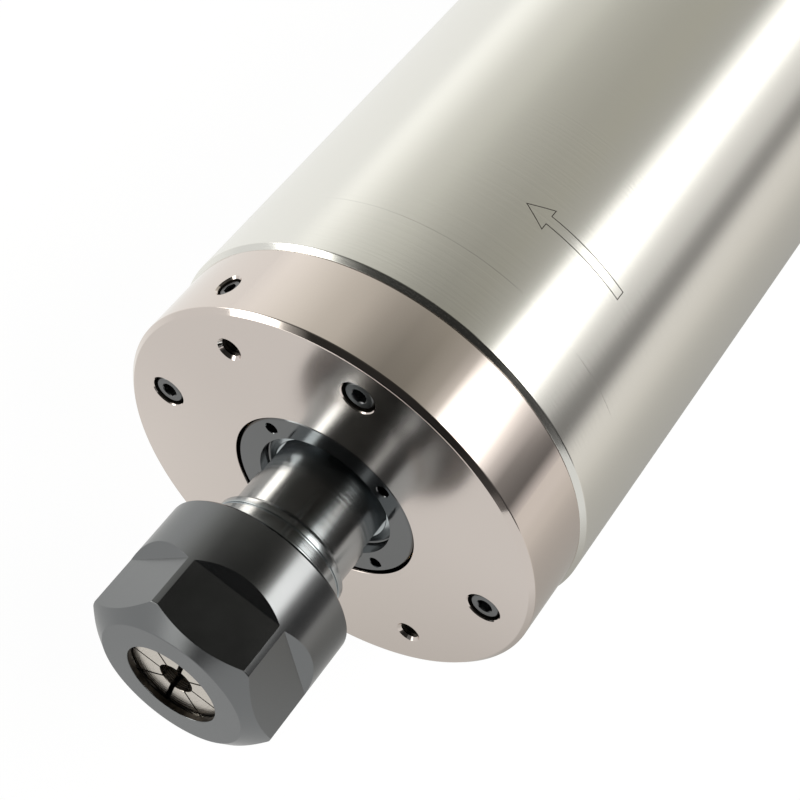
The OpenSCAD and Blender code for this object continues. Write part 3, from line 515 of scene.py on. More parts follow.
def pointing_out(piece, angle, y):
    """Lays a piece made along +Y so that it points straight out of the axis."""
    piece.data.transform(
        Matrix.Rotation(-math.radians(angle), 4, "Y")
        @ Matrix.Translation((0, y * MM, 0))
        @ Matrix.Rotation(-math.pi / 2, 4, "Z")
    )
    return piece


def joined(pieces):
    """One object from several."""
    bm = bmesh.new()
    for piece in pieces:
        bm.from_mesh(piece.data)
    bm.to_mesh(pieces[0].data)
    bm.free()
    for piece in pieces[1:]:
        bpy.data.objects.remove(piece)
    return pieces[0]


def cut(piece, tools):
    """Cuts the tools out of a piece."""
    tool = joined(tools)
    cutting = piece.modifiers.new("cut", "BOOLEAN")
    cutting.operation = "DIFFERENCE"
    cutting.solver = "EXACT"
    cutting.object = tool
    bpy.context.view_layer.update()
    made = bpy.data.meshes.new_from_object(piece.evaluated_get(bpy.context.evaluated_depsgraph_get()))
    piece.modifiers.clear()
    piece.data = made
    bpy.data.objects.remove(tool)
    return piece


def tapped_wall(radius, first, last, pitch):
    """Points of a tapped hole's wall, with a groove for each turn of the thread."""
    points = []
    y = first
    while y < last:
        points += [(radius, y, 0), (radius + pitch * THREAD_GROOVE, y + pitch / 2, 0)]
        y += pitch
    return points + [(radius, last, 0)]


def screw_hole():
    """The cutter for a counterbored screw hole, from the face inwards."""
    return turned("tool", [
        (0, -1, 0), (HEAD_HOLE_R + HOLE_CHAMFER, -1, 0), (HEAD_HOLE_R + HOLE_CHAMFER, 0, 0),
        (HEAD_HOLE_R, HOLE_CHAMFER, 0), (HEAD_HOLE_R, HEAD_DEPTH, 0), (SHANK_HOLE_R, HEAD_DEPTH, 0),
        (SHANK_HOLE_R, SHANK_HOLE_END, 0), (0, SHANK_HOLE_END, 0),
    ], 64)


def shade_holes(piece, material, inside):
    """Paints shade into the faces that lie in a hole, by a test of their middle in millimetres: they get
    the dark material.
    """
    piece.data.materials.append(material)
    for face in piece.data.polygons:
        if inside(face.center / MM):
            face.material_index = len(piece.data.materials) - 1


def in_face_hole(p, angle, reach):
    """Whether a point lies in a hole drilled into the face at a turn on the screws' circle."""
    a = math.radians(angle)
    off = math.hypot(p.x - SCREW_CIRCLE * math.cos(a), p.z - SCREW_CIRCLE * math.sin(a))
    return off < reach and p.y > HOLE_SHADE_FROM


def in_cross_hole(p):
    """Whether a point lies in the hole that is drilled through the rim."""
    out = math.hypot(p.x, p.z)
    under_chamfer = CROSS_SHADE_FROM < out < cover_r - CROSS_CHAMFER - 0.05
    return under_chamfer and abs(p.y - CROSS_Y) < CROSS_TAP_R + 0.05 and p.x < 0 < p.z


# Bright turned steel: a near mirror with a rosy cast on the rim, and satin on the flat face.
bright_turned = turned_metal("bright_turned_steel", "#DAD0CA", 0.08, 0.015, 0.30, 0.25, 0.00006, 0.09)

cover_r = tube_r - COVER_STEP
COVER_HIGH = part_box("front_cover")[1] / MM
front_cover = turned("front_cover", [
    (RING_HOLE_R, 0, FACE_EDGE), (cover_r - COVER_BEVEL, 0, EDGE_ROUND), (cover_r, COVER_BEVEL, EDGE_ROUND),
    (cover_r, PARTING_Y - COVER_GAP, FACE_EDGE), (SPIGOT_R, PARTING_Y - COVER_GAP, 0),
    (SPIGOT_R, TUBE_LOW.y, 0), (SLEEVE_R, TUBE_LOW.y, 0), (SLEEVE_R, COVER_HIGH.y, 0),
    (BEARING_SEAT_R, COVER_HIGH.y, 0), (BEARING_SEAT_R, RING_HOLE_DEPTH, 0),
    (RING_HOLE_R, RING_HOLE_DEPTH, 0),
], 360)
tools = [at_turn(screw_hole(), a, SCREW_CIRCLE) for a in FACE_SCREWS]
for a in PORTS:
    port = turned("tool", [
        (0, -1, 0), (PORT_MOUTH_R, -1, 0), (PORT_MOUTH_R, 0, 0),
        *tapped_wall(PORT_R, PORT_MOUTH_R - PORT_R, PORT_DEPTH, THREAD_PITCH),
        (0, PORT_DEPTH + DRILL_POINT, 0),
    ], 64)
    tools.append(at_turn(port, a, SCREW_CIRCLE))
cut(front_cover, tools)
cross_hole = turned("tool", [
    (0, CROSS_FROM, 0), (CROSS_R, CROSS_FROM, 0), (CROSS_R, CROSS_TAP_FROM, 0),
    (CROSS_TAP_R, CROSS_TAP_FROM, 0), (CROSS_TAP_R, cover_r - CROSS_CHAMFER, 0),
    (CROSS_MOUTH_R, cover_r + CROSS_CHAMFER, 0), (CROSS_MOUTH_R, cover_r + 2, 0), (0, cover_r + 2, 0),
], 64)
cut(front_cover, [pointing_out(cross_hole, PORTS[0], CROSS_Y)])
smooth(front_cover)
fit(front_cover, bright_turned, "housing", "turned_steel", "front_cover")

# Painted shade in the holes: a dark, mottled steel on their walls stands for the shade deep in the drilled
# and tapped holes.
SHADE_MOTTLE_MM = 0.8
hole_shade, tree = bare_material("painted_shade_in_holes")
shade_mottle = add_node(tree, "TexNoise", {
    "Vector": add_node(tree, "TexCoord").outputs["Object"], "Scale": 1000 / SHADE_MOTTLE_MM,
})
tone = add_node(tree, "ValToRGB", {"Fac": shade_mottle.outputs["Fac"]})
ramp_stops(tone, [(0.35, paint("#211D18")), (0.65, paint("#3A342C"))])
skin = add_node(tree, "BsdfPrincipled", {
    "Base Color": tone.outputs["Color"], "Metallic": 0.7, "Roughness": 0.42,
})
add_node(tree, "OutputMaterial", {"Surface": skin.outputs[0]})
# The walls of the screw holes, the ports and the cross hole get the painted shade.
shade_holes(front_cover, hole_shade, lambda p: (
    any(in_face_hole(p, a, HEAD_HOLE_R + 0.03) for a in FACE_SCREWS)
    or any(in_face_hole(p, a, PORT_R + 0.3) for a in PORTS)
    or in_cross_hole(p)
))

# Screws of the front cover
# Socket-head screws of hardened steel, blacked in hot oxide. They sit just under the face.

SCREW_SINK = 0.4
HEAD_R = 2.72
HEAD_H = 2.95
HEAD_EDGE = 0.35
SHANK_R = 1.5
SHANK_LENGTH = 18.0
SHANK_EDGE = 0.4
KEY_ACROSS = 2.5
KEY_DEPTH = 1.6
KEY_POINT = 0.5
KEY_LEAD = 0.15


def cap_screw(name):
    """A socket-head screw along +Y, with its head's face at 0."""
    end = HEAD_H + SHANK_LENGTH
    screw = turned(name, [
        (0, 0, 0), (HEAD_R - HEAD_EDGE, 0, 0.1), (HEAD_R, HEAD_EDGE, 0.1), (HEAD_R, HEAD_H, 0.05),
        (SHANK_R, HEAD_H, 0.1), (SHANK_R, end - SHANK_EDGE, 0), (SHANK_R - SHANK_EDGE, end, 0), (0, end, 0),
    ], 64)
    key_r = KEY_ACROSS / math.sqrt(3)
    key = turned("tool", [
        (0, -1, 0), (key_r, -1, 0), (key_r, KEY_DEPTH, 0), (0, KEY_DEPTH + KEY_POINT, 0),
    ], 6)
    lead_in = turned("tool", [
        (0, -1, 0), (key_r + 1.0, -1, 0), (key_r - KEY_LEAD, KEY_LEAD, 0), (0, KEY_LEAD, 0),
    ], 48)
    cut(screw, [key])
    return cut(screw, [lead_in])


# The black's gloss drifts slowly over the surface, in clouds of this size.
CLOUD_MM = 6.0


def black_oxide(name, colour, roughness, spread, grain_mm, density=2.42, gloss="#ECEEF0"):
    """Steel blacked in hot oxide: a dense dark skin of magnetite with a deep satin gloss."""
    material, tree = bare_material(name)
    place = add_node(tree, "TexCoord").outputs["Object"]
    cloud = add_node(tree, "TexNoise", {"Vector": place, "Scale": 1000 / CLOUD_MM, "Detail": 4.0})
    grain = add_node(tree, "TexNoise", {"Vector": place, "Scale": 1000 / grain_mm, "Detail": 2.0})
    rough = add_node(tree, "MapRange", {
        "Value": cloud.outputs["Fac"], "From Min": NOISE_LOW, "From Max": NOISE_HIGH,
        "To Min": roughness - spread, "To Max": roughness + spread,
    })
    bump = add_node(tree, "Bump", {"Height": grain.outputs["Fac"], "Strength": 0.5, "Distance": 0.001 * MM})
    skin = add_node(
        tree, "BsdfPrincipled",
        {
            "Base Color": paint(colour), "Metallic": 0.0, "Roughness": rough.outputs[0],
            "IOR": density, "Specular Tint": paint(gloss), "Normal": bump.outputs[0],
        },
    )
    add_node(tree, "OutputMaterial", {"Surface": skin.outputs[0]})
    return material


# The screws' black is duller and greyer than the nut's.
blacked_screw = black_oxide("blacked_screw_steel", "#131416", 0.30, 0.05, 0.08)
screws = joined([
    at_turn(cap_screw("front_cover_screws"), a, SCREW_CIRCLE, SCREW_SINK) for a in FACE_SCREWS
])
smooth(screws)
fit(screws, blacked_screw, "housing", "black_steel", "front_cover_screws")

# The plug screw in the rim: a short headless screw that closes the cross drilling.
PLUG_R = 2.0
PLUG_SINK = 0.6
PLUG_LENGTH = 4.6
PLUG_EDGE = 0.3
PLUG_KEY_ACROSS = 2.0
PLUG_KEY_DEPTH = 1.8
PLUG_KEY_POINT = 0.4
plug_top = cover_r - PLUG_SINK
plug_end = plug_top - PLUG_LENGTH
plug = turned("side_plug_screw", [
    (0, plug_end, 0), (PLUG_R - PLUG_EDGE, plug_end, 0), (PLUG_R, plug_end + PLUG_EDGE, 0),
    (PLUG_R, plug_top - PLUG_EDGE, 0.08), (PLUG_R - PLUG_EDGE, plug_top, 0.08), (0, plug_top, 0),
], 48)
plug_key_r = PLUG_KEY_ACROSS / math.sqrt(3)
plug_key_end = plug_top - PLUG_KEY_DEPTH
plug_key = turned("tool", [
    (0, plug_key_end - PLUG_KEY_POINT, 0), (plug_key_r, plug_key_end, 0), (plug_key_r, cover_r + 1, 0),
    (0, cover_r + 1, 0),
], 6)
cut(plug, [plug_key])
pointing_out(plug, PORTS[0], CROSS_Y)
smooth(plug)
fit(plug, blacked_screw, "housing", "black_steel", "side_plug_screw")

# Shaft
# Hardened steel, ground and polished between centres. The neck carries two small wrench
# flats. A thread on the nose takes the collet nut, and a long taper inside takes the collet.

NECK_R = 10.8
NECK_FROM = -11.4
NECK_TO = 2.2
NOSE_R = 12.4
NOSE_END = -33.4
NOSE_EDGE = 0.9
NOSE_PITCH = 1.5
THREAD_FROM = -32.9
THREAD_TO = -17.6
THREAD_ROOT = NOSE_R - 0.8
COLLAR_FROM = -17.0
COLLAR_R = 12.1
COLLAR_GROOVE_R = 11.8
COLLAR_FOOT_R = 12.05
FLAT_TURNS = [-7.6, 172.4]
FLAT_R = 10.2
FLAT_FROM = -4.6
TAPER = math.tan(math.radians(8))
TAPER_R = 10.6
TAPER_MOUTH = -33.7
TAPER_END = -6.5
BORE_R = 6.0
BORE_TIP = 3.0
FRONT_SEAT_R = 12.4
FRONT_SEAT_END = 38.4
SHOULDER_R = 15.5
SHOULDER_END = 54.8
ROTOR_SEAT_R = 12.9
ROTOR_SEAT_END = 157.5
REAR_SEAT_R = 10.0
REAR_SEAT_END = 172.0
END_R = 7.4
SHAFT_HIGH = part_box("shaft")[1] / MM


def taper_at(y):
    """Radius of the shaft's inner taper."""
    return TAPER_R - (y - TAPER_MOUTH) * TAPER


shaft = turned("shaft", [
    (0, BORE_TIP, 0), (BORE_R - 1, BORE_TIP, 0), (BORE_R, 0, 0), (BORE_R, TAPER_END, 0),
    (taper_at(TAPER_END), TAPER_END, 0), (taper_at(NOSE_END), NOSE_END, 0.1),
    (NOSE_R - NOSE_EDGE, NOSE_END, 0.1), (THREAD_ROOT, NOSE_END + 0.4, 0), (THREAD_ROOT, THREAD_TO, 0),
    # The collar behind the nut steps down to the neck, with a fine groove between its two parts.
    (NOSE_R, COLLAR_FROM, 0.05), (NOSE_R, COLLAR_FROM + 1.2, 0.08), (COLLAR_R, COLLAR_FROM + 1.4, 0.05),
    (COLLAR_R, COLLAR_FROM + 3.0, 0.08), (COLLAR_GROOVE_R, COLLAR_FROM + 3.1, 0.03),
    (COLLAR_GROOVE_R, COLLAR_FROM + 3.4, 0.03), (COLLAR_FOOT_R, COLLAR_FROM + 3.5, 0.08),
    (COLLAR_FOOT_R, NECK_FROM - 1, 0.15), (NECK_R, NECK_FROM, 0.25), (NECK_R, NECK_TO, 0.1),
    # The seats of the front bearings, the rotor and the rear bearings lie behind the ring.
    (FRONT_SEAT_R - 0.2, NECK_TO + 0.4, 0), (FRONT_SEAT_R, NECK_TO + 0.6, 0),
    (FRONT_SEAT_R, FRONT_SEAT_END, 0), (SHOULDER_R, FRONT_SEAT_END, 0), (SHOULDER_R, SHOULDER_END, 0),
    (ROTOR_SEAT_R, SHOULDER_END, 0), (ROTOR_SEAT_R, ROTOR_SEAT_END, 0), (REAR_SEAT_R, ROTOR_SEAT_END, 0),
    (REAR_SEAT_R, REAR_SEAT_END, 0), (END_R, REAR_SEAT_END, 0), (END_R, SHAFT_HIGH.y - 1, 0),
    (END_R - 1, SHAFT_HIGH.y, 0), (0, SHAFT_HIGH.y, 0),
], 256)


def block(name, low, high):
    """A plain block between two corners, in millimetres, for cutting with."""
    bm = bmesh.new()
    bmesh.ops.create_cube(bm, size=1.0)
    size = Vector(high) - Vector(low)
    middle = (Vector(high) + Vector(low)) / 2
    bmesh.ops.transform(
        bm, matrix=Matrix.Translation(middle * MM) @ Matrix.Diagonal((*(size * MM), 1)), verts=bm.verts
    )
    return placed(name, bm)


cut(shaft, [
    at_turn(block("tool", (0, FLAT_FROM, -11), (12, NECK_TO - 0.1, 11)), a, FLAT_R) for a in FLAT_TURNS
])
smooth(shaft)
# Ground and polished steel: it mirrors the room in narrow streaks along the neck.
polished_steel = turned_metal("polished_ground_steel", "#B5BBBE", 0.19, 0.03, 0.88, 0.5, 0.0003)
fit(shaft, polished_steel, "rotor", "polished_steel", "shaft")


# The thread's ridge is cut off at the crest, and starts a little under the thread's root.
CREST_FROM = 0.44
CREST_TO = 0.56
ROOT_SINK = 0.05


def screw_thread(name, root, crest, first, last, pitch, steps=96):
    """The ridge of a screw thread: a helix round the Y axis that fades out at both ends."""
    bm = bmesh.new()
    turns = (last - first) / pitch - 1
    count = int(turns * steps)
    rows = []
    for k in range(count + 1):
        a = 2 * math.pi * k / steps
        y = first + pitch * k / steps
        ends = min(1.0, k / (steps / 3), (count - k) / (steps / 3))
        top = root + (crest - root) * ends
        low = root - ROOT_SINK
        section = [(low, 0.0), (top, CREST_FROM * pitch), (top, CREST_TO * pitch), (low, pitch)]
        rows.append([
            bm.verts.new((radius * MM * math.cos(a), (y + dy) * MM, -radius * MM * math.sin(a)))
            for radius, dy in section
        ])
    for near, far in zip(rows, rows[1:]):
        for i in range(3):
            bm.faces.new((near[i], near[i + 1], far[i + 1], far[i]))
    bmesh.ops.recalc_face_normals(bm, faces=bm.faces)
    return placed(name, bm)


nose_thread = screw_thread("nose_thread", THREAD_ROOT, NOSE_R, THREAD_FROM, THREAD_TO, NOSE_PITCH)
smooth(nose_thread, 20)
fit(nose_thread, polished_steel, "rotor", "polished_steel")

# Lock ring
# A blacked steel ring screwed on the shaft against the bearings. Four round holes take the
# pins of its spanner. A dark gap parts it from the cover.

RING_R = 17.0
RING_BORE_R = 12.7
RING_THREAD_R = 12.48
RING_BACK = 8.1
RING_EDGE = 0.3
RING_FACE = 0.3
RING_HOLES = [54, 144, 234, 324]
RING_HOLE_CIRCLE = 15.0
RING_PIN_R = 1.1
RING_PIN_DEPTH = 2.7
RING_PIN_EDGE = 0.12

lock_ring = turned("lock_ring", [
    (RING_BORE_R, RING_FACE, 0.08), (RING_R - RING_EDGE, RING_FACE, 0.1),
    (RING_R, RING_FACE + RING_EDGE, 0.1), (RING_R, RING_BACK, 0), (RING_THREAD_R, RING_BACK, 0),
    (RING_THREAD_R, NECK_TO + 0.7, 0), (RING_BORE_R, NECK_TO + 0.5, 0),
], 256)
pin_holes = [
    at_turn(turned("tool", [
        (0, -1, 0), (RING_PIN_R + RING_PIN_EDGE, -1, 0), (RING_PIN_R + RING_PIN_EDGE, RING_FACE, 0),
        (RING_PIN_R, RING_FACE + RING_PIN_EDGE, 0), (RING_PIN_R, RING_FACE + RING_PIN_DEPTH, 0),
        (0, RING_FACE + RING_PIN_DEPTH + 0.6, 0),
    ], 40), a, RING_HOLE_CIRCLE)
    for a in RING_HOLES
]
cut(lock_ring, pin_holes)
smooth(lock_ring)
# The ring is ground before it is blacked, so it mirrors more sharply than the nut.
blacked_ring = black_oxide("blacked_ring_steel", "#0D0E11", 0.10, 0.02, 0.1)
fit(lock_ring, blacked_ring, "rotor", "black_steel", "lock_ring")

# Collet
# Spring steel, hardened and ground. Slits from both ends let it close on the tool's shank.
# Two of the front slits are wide, and the groove behind its head takes the nut's ring.

COLLET_FACE = -40.0
COLLET_BACK = -8.5
COLLET_BORE_R = 3.0
COLLET_HEAD_R = 9.82
COLLET_FACE_R = 8.9
GROOVE_R = 8.6
GROOVE_FROM = -37.0
GROOVE_TO = -35.2
COLLET_R = 10.5
SLIT_TURN = 85.4
SLITS = 8
SLIT_W = 0.35
WIDE_SLIT_W = 0.85
SLIT_STOP = 4.0
BACK_SLIT_STOP = 7.5

collet = turned("collet", [
    (COLLET_BORE_R, COLLET_FACE, 0.12), (COLLET_FACE_R, COLLET_FACE, 0.1),
    (COLLET_HEAD_R, COLLET_FACE + 1.6, 0.05), (COLLET_HEAD_R, GROOVE_FROM - 0.2, 0.05),
    (GROOVE_R, GROOVE_FROM, 0.05), (GROOVE_R, GROOVE_TO, 0), (COLLET_R - 0.2, GROOVE_TO, 0.1),
    (COLLET_R, TAPER_MOUTH, 0.1), (COLLET_R - (COLLET_BACK - TAPER_MOUTH) * TAPER, COLLET_BACK, 0.1),
    (COLLET_BORE_R, COLLET_BACK, 0.1),
], 192)
slit_tools = []
for i in range(SLITS):
    half = (WIDE_SLIT_W if i % (SLITS // 2) == 0 else SLIT_W) / 2
    slit = block("tool", (0, COLLET_FACE - 1, -half), (14, COLLET_BACK - SLIT_STOP, half))
    slit_tools.append(at_turn(slit, SLIT_TURN + i * 360 / SLITS, 0))
for i in range(SLITS):
    half = SLIT_W / 2
    slit = block("tool", (0, COLLET_FACE + BACK_SLIT_STOP, -half), (14, COLLET_BACK + 1, half))
    slit_tools.append(at_turn(slit, SLIT_TURN + (i + 0.5) * 360 / SLITS, 0))
for tool in slit_tools:
    cut(collet, [tool])
smooth(collet)
# Ground spring steel: a pale satin that shows little of the room.
ground_spring = turned_metal("ground_spring_steel", "#D2CBC2", 0.24, 0.05, 0.2, 0.3, 0.0005)
fit(collet, ground_spring, "collet", "collet_steel", "collet")

# Collet nut
# Turned from round bar, with six flats milled for the wrench, each with a sloped run-out. Its
# front is a cone with a round mouth. It is blacked all over, which leaves a deep satin gloss.

NUT_R = 17.0
NUT_FRONT = -41.3
NUT_BACK = -18.1
NUT_FACE_R = 13.0
NUT_CONE = 2.8
NUT_MOUTH_R = 8.2
NUT_LAND = 1.0
NUT_EDGE = 0.6
NUT_FLATS = 6
NUT_FLAT = 15.0
NUT_FLAT_END = -29.4
NUT_TURN = 83.8
RUN_OUT = 0.875
CUTTER_TALL = 8.0
CUTTER_WIDE = 20.0
NUT_THREAD_R = 12.5
NUT_THREAD_END = -34.4
NUT_RING_R = 11.05
NUT_RING_END = -37.1

nut = turned("collet_nut", [
    (NUT_MOUTH_R, NUT_FRONT, 0.12), (NUT_FACE_R, NUT_FRONT, 0.45), (NUT_R, NUT_FRONT + NUT_CONE, 0.25),
    (NUT_R, NUT_BACK - NUT_EDGE, 0.15), (NUT_R - NUT_EDGE, NUT_BACK, 0.15),
    (NUT_THREAD_R + NUT_EDGE, NUT_BACK, 0.1), (NUT_THREAD_R, NUT_BACK - NUT_EDGE, 0),
    (NUT_THREAD_R, NUT_THREAD_END, 0), (NUT_RING_R, NUT_THREAD_END, 0), (NUT_RING_R, NUT_RING_END, 0),
    (NUT_RING_R - 0.35, NUT_RING_END, 0), (NUT_MOUTH_R + 0.63, NUT_FRONT + NUT_LAND, 0),
    (NUT_MOUTH_R, NUT_FRONT + NUT_LAND, 0.1),
], 256)


def flat_cutter():
    """The cutter of one flat: as the end mill leaves it, with a sloped end."""
    bm = bmesh.new()
    side = [
        (NUT_FLAT, NUT_FRONT - 2), (NUT_FLAT, NUT_FLAT_END),
        (NUT_FLAT + CUTTER_TALL, NUT_FLAT_END + CUTTER_TALL * RUN_OUT),
        (NUT_FLAT + CUTTER_TALL, NUT_FRONT - 2),
    ]
    near = [bm.verts.new((x * MM, y * MM, -CUTTER_WIDE * MM)) for x, y in side]
    far = [bm.verts.new((x * MM, y * MM, CUTTER_WIDE * MM)) for x, y in side]
    bm.faces.new(near)
    bm.faces.new(list(reversed(far)))
    for k in range(4):
        m = (k + 1) % 4
        bm.faces.new((near[k], far[k], far[m], near[m]))
    bmesh.ops.recalc_face_normals(bm, faces=bm.faces)
    return placed("tool", bm)


for i in range(NUT_FLATS):
    cut(nut, [at_turn(flat_cutter(), NUT_TURN + i * 360 / NUT_FLATS, 0)])
NUT_SOFT_EDGE = 0.12
soft_edges = nut.modifiers.new("soft_edges", "BEVEL")
soft_edges.width = NUT_SOFT_EDGE * MM
soft_edges.segments = 2
soft_edges.limit_method = "ANGLE"
soft_edges.angle_limit = math.radians(12)
smooth(nut, 35)
blacked_nut = black_oxide("blacked_nut_steel", "#07080A", 0.19, 0.02, 0.12, 2.8, "#E8EBEE")
fit(nut, blacked_nut, "nut", "black_steel", "collet_nut")
# The inside of the nut's mouth gets the painted shade of the holes.
shade_holes(nut, hole_shade, lambda p: (
    math.hypot(p.x, p.z) < NUT_MOUTH_R + 0.7 and p.y > NUT_FRONT + NUT_SOFT_EDGE
))

# Rear cover
# Turned like the front one, with counterbored screws, two ports for the cooling water and the
# hole of the power socket.

REAR_LOW, REAR_HIGH = (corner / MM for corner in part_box("rear_cover"))
REAR_SCREWS = [45, 135, 225, 315]
REAR_SCREW_CIRCLE = 29.0
FITTING_TURNS = [200, 340]
FITTING_CIRCLE = 23.0
TAP_R = 4.85
TAP_DEPTH = 9.0
TAP_CHAMFER = 0.45
WATER_R = 2.5
SOCKET_TURN = 90
SOCKET_CIRCLE = 22.5
SOCKET_HOLE_R = 7.95
SOCKET_CHAMFER = 0.35
REAR_THICK = 9.0
REAR_SPIGOT_R = 36.9
REAR_BORE_R = 11.5
REAR_GAP = 0.05
rear_face = REAR_HIGH.y


def from_rear(piece):
    """Turns a piece made from the front face inwards so that it goes in from the rear."""
    piece.data.transform(Matrix.Translation((0, rear_face * MM, 0)) @ Matrix.Rotation(math.pi, 4, "Z"))
    return piece


rear_cover = turned("rear_cover", [
    (0, rear_face, 0), (cover_r - COVER_BEVEL, rear_face, EDGE_ROUND),
    (cover_r, rear_face - COVER_BEVEL, EDGE_ROUND),
    (cover_r, TUBE_HIGH.y + REAR_GAP, FACE_EDGE), (REAR_SPIGOT_R, TUBE_HIGH.y + REAR_GAP, 0),
    (REAR_SPIGOT_R, REAR_LOW.y, 0), (REAR_BORE_R, REAR_LOW.y, 0), (REAR_BORE_R, rear_face - REAR_THICK, 0),
    (0, rear_face - REAR_THICK, 0),
], 360)
rear_tools = [at_turn(from_rear(screw_hole()), a, REAR_SCREW_CIRCLE) for a in REAR_SCREWS]
rear_tools += [
    at_turn(from_rear(turned("tool", [
        (0, -1, 0), (TAP_R + TAP_CHAMFER, -1, 0), (TAP_R + TAP_CHAMFER, 0, 0),
        (TAP_R, TAP_CHAMFER, 0), (TAP_R, TAP_DEPTH, 0), (WATER_R, TAP_DEPTH, 0),
        (WATER_R, TAP_DEPTH + 5, 0), (0, TAP_DEPTH + 5, 0),
    ], 64)), a, FITTING_CIRCLE)
    for a in FITTING_TURNS
]
rear_tools.append(at_turn(from_rear(turned("tool", [
    (0, -1, 0), (SOCKET_HOLE_R + SOCKET_CHAMFER, -1, 0), (SOCKET_HOLE_R + SOCKET_CHAMFER, 0, 0),
    (SOCKET_HOLE_R, SOCKET_CHAMFER, 0), (SOCKET_HOLE_R, 22, 0), (0, 22, 0),
], 96)), SOCKET_TURN, SOCKET_CIRCLE))
cut(rear_cover, rear_tools)
smooth(rear_cover)
fit(rear_cover, bright_turned, "housing", "turned_steel", "rear_cover")

rear_screws = []
for a in REAR_SCREWS:
    screw = cap_screw("rear_cover_screws")
    screw.data.transform(Matrix.Translation((0, SCREW_SINK * MM, 0)))
    rear_screws.append(at_turn(from_rear(screw), a, REAR_SCREW_CIRCLE))
rear_screws = joined(rear_screws)
smooth(rear_screws)
fit(rear_screws, blacked_screw, "housing", "black_steel", "rear_cover_screws")

# Hose fittings
# Brass, turned from hexagon bar and nickel plated. Barbs hold the cooling hoses, and a soft
# copper washer seals each fitting on the cover.

HEX_ACROSS = 12.0
HEX_FROM = rear_face + 1.05
HEX_TO = rear_face + 6.0
TAIL_R = 3.2
BARB_R = 4.0
BARBS = 3
BARB_PITCH = 4.0
BARB_LENGTH = BARB_PITCH - 0.4
TAIL_BORE_R = 2.0
STEM_R = 4.8
STEM_EDGE = 0.3
HEX_COLLAR_R = 5.6
barbs_from = HEX_TO + 4
tail_end = barbs_from + BARBS * BARB_PITCH
fitting_end = rear_face - 8.5
hex_r = HEX_ACROSS / math.sqrt(3)
fittings = []
for a in FITTING_TURNS:
    body = turned("hose_fittings", [
        (TAIL_BORE_R, fitting_end, 0), (STEM_R - STEM_EDGE, fitting_end, 0),
        (STEM_R, fitting_end + STEM_EDGE, 0), (STEM_R, HEX_FROM, 0),
        (HEX_COLLAR_R, HEX_FROM, 0), (HEX_COLLAR_R, HEX_TO, 0.1), (TAIL_R, HEX_TO, 0.2),
        *[
            point
            for y in (barbs_from + i * BARB_PITCH for i in range(BARBS))
            for point in ((TAIL_R, y, 0.05), (BARB_R, y, 0.08), (TAIL_R, y + BARB_LENGTH, 0.2))
        ],
        (TAIL_R, tail_end, 0.15), (TAIL_BORE_R, tail_end, 0.15),
    ], 96)
    hexagon = turned("hexagon", [
        (WATER_R, HEX_FROM, 0), (hex_r, HEX_FROM, 0), (hex_r, HEX_TO, 0), (WATER_R, HEX_TO, 0),
    ], 6)
    # The lathe takes the six corners off at the top.
    crown = turned("tool", [
        (HEX_ACROSS / 2, HEX_TO + 1, 0), (HEX_ACROSS / 2 + 0.05, HEX_TO, 0),
        (HEX_ACROSS / 2 + 1.2, HEX_TO - 0.6, 0), (HEX_ACROSS, HEX_TO - 0.6, 0), (HEX_ACROSS, HEX_TO + 1, 0),
    ], 96)
    cut(hexagon, [crown])
    fittings.append(at_turn(joined([body, hexagon]), a, FITTING_CIRCLE))
fittings = joined(fittings)
smooth(fittings)
# Nickel plate: bright, a shade warmer than steel.
nickel_plate = turned_metal("nickel_plated_brass", "#D8D3C6", 0.16, 0.04, 0.1, 0.4, 0.0006)
fit(fittings, nickel_plate, "housing", "nickel", "hose_fittings")

# Power socket
# A threaded metal shell with a flange, a moulded insulator and four gold-plated pins. The
# plug's ring screws on the shell.

SHELL_R = 7.9
SHELL_BORE = 6.6
SHELL_DEPTH = 8.0
SHELL_RISE = 11.5
SEAT_R = 5.8
SEAT_Y = 3.0
SHELL_THREADS = 8
SHELL_PITCH = 1.0
SHELL_GROOVE = 0.45
KEYWAY_HALF = 1.1
KEYWAY_DEEP = 0.6
FLANGE_R = 10.5
FLANGE_THICK = 2.5
FLANGE_FLAT = 9.3
shell_top = rear_face + SHELL_RISE
thread_from = rear_face + SEAT_Y + 0.1
shell = turned("socket_shell", [
    (SEAT_R, rear_face - SHELL_DEPTH, 0), (SHELL_R, rear_face - SHELL_DEPTH, 0), (SHELL_R, thread_from, 0),
    *[
        point
        for y in (thread_from + i * SHELL_PITCH for i in range(SHELL_THREADS))
        for point in ((SHELL_R, y, 0), (SHELL_R - SHELL_GROOVE, y + SHELL_PITCH / 2, 0))
    ],
    (SHELL_R, thread_from + SHELL_THREADS * SHELL_PITCH, 0.05), (SHELL_R - 0.5, shell_top, 0.1),
    (SHELL_BORE, shell_top, 0.1), (SHELL_BORE, rear_face + SEAT_Y, 0), (SEAT_R, rear_face + SEAT_Y, 0),
], 128)
flange = turned("flange", [
    (SHELL_R - 0.3, rear_face + REAR_GAP, 0), (FLANGE_R, rear_face + REAR_GAP, 0.1),
    (FLANGE_R, rear_face + FLANGE_THICK, 0.3), (SHELL_R - 0.3, rear_face + FLANGE_THICK, 0),
], 128)
cut(flange, [
    block("tool", (-12, rear_face - 1, FLANGE_FLAT), (12, rear_face + 4, 12)),
    block("tool", (-12, rear_face - 1, -12), (12, rear_face + 4, -FLANGE_FLAT)),
])
cut(shell, [block(
    "tool", (-KEYWAY_HALF, rear_face + 4, SHELL_BORE - 1),
    (KEYWAY_HALF, rear_face + 14, SHELL_BORE + KEYWAY_DEEP),
)])
shell = at_turn(joined([shell, flange]), SOCKET_TURN, SOCKET_CIRCLE)
smooth(shell)
fit(shell, nickel_plate, "housing", "nickel", "socket_shell")

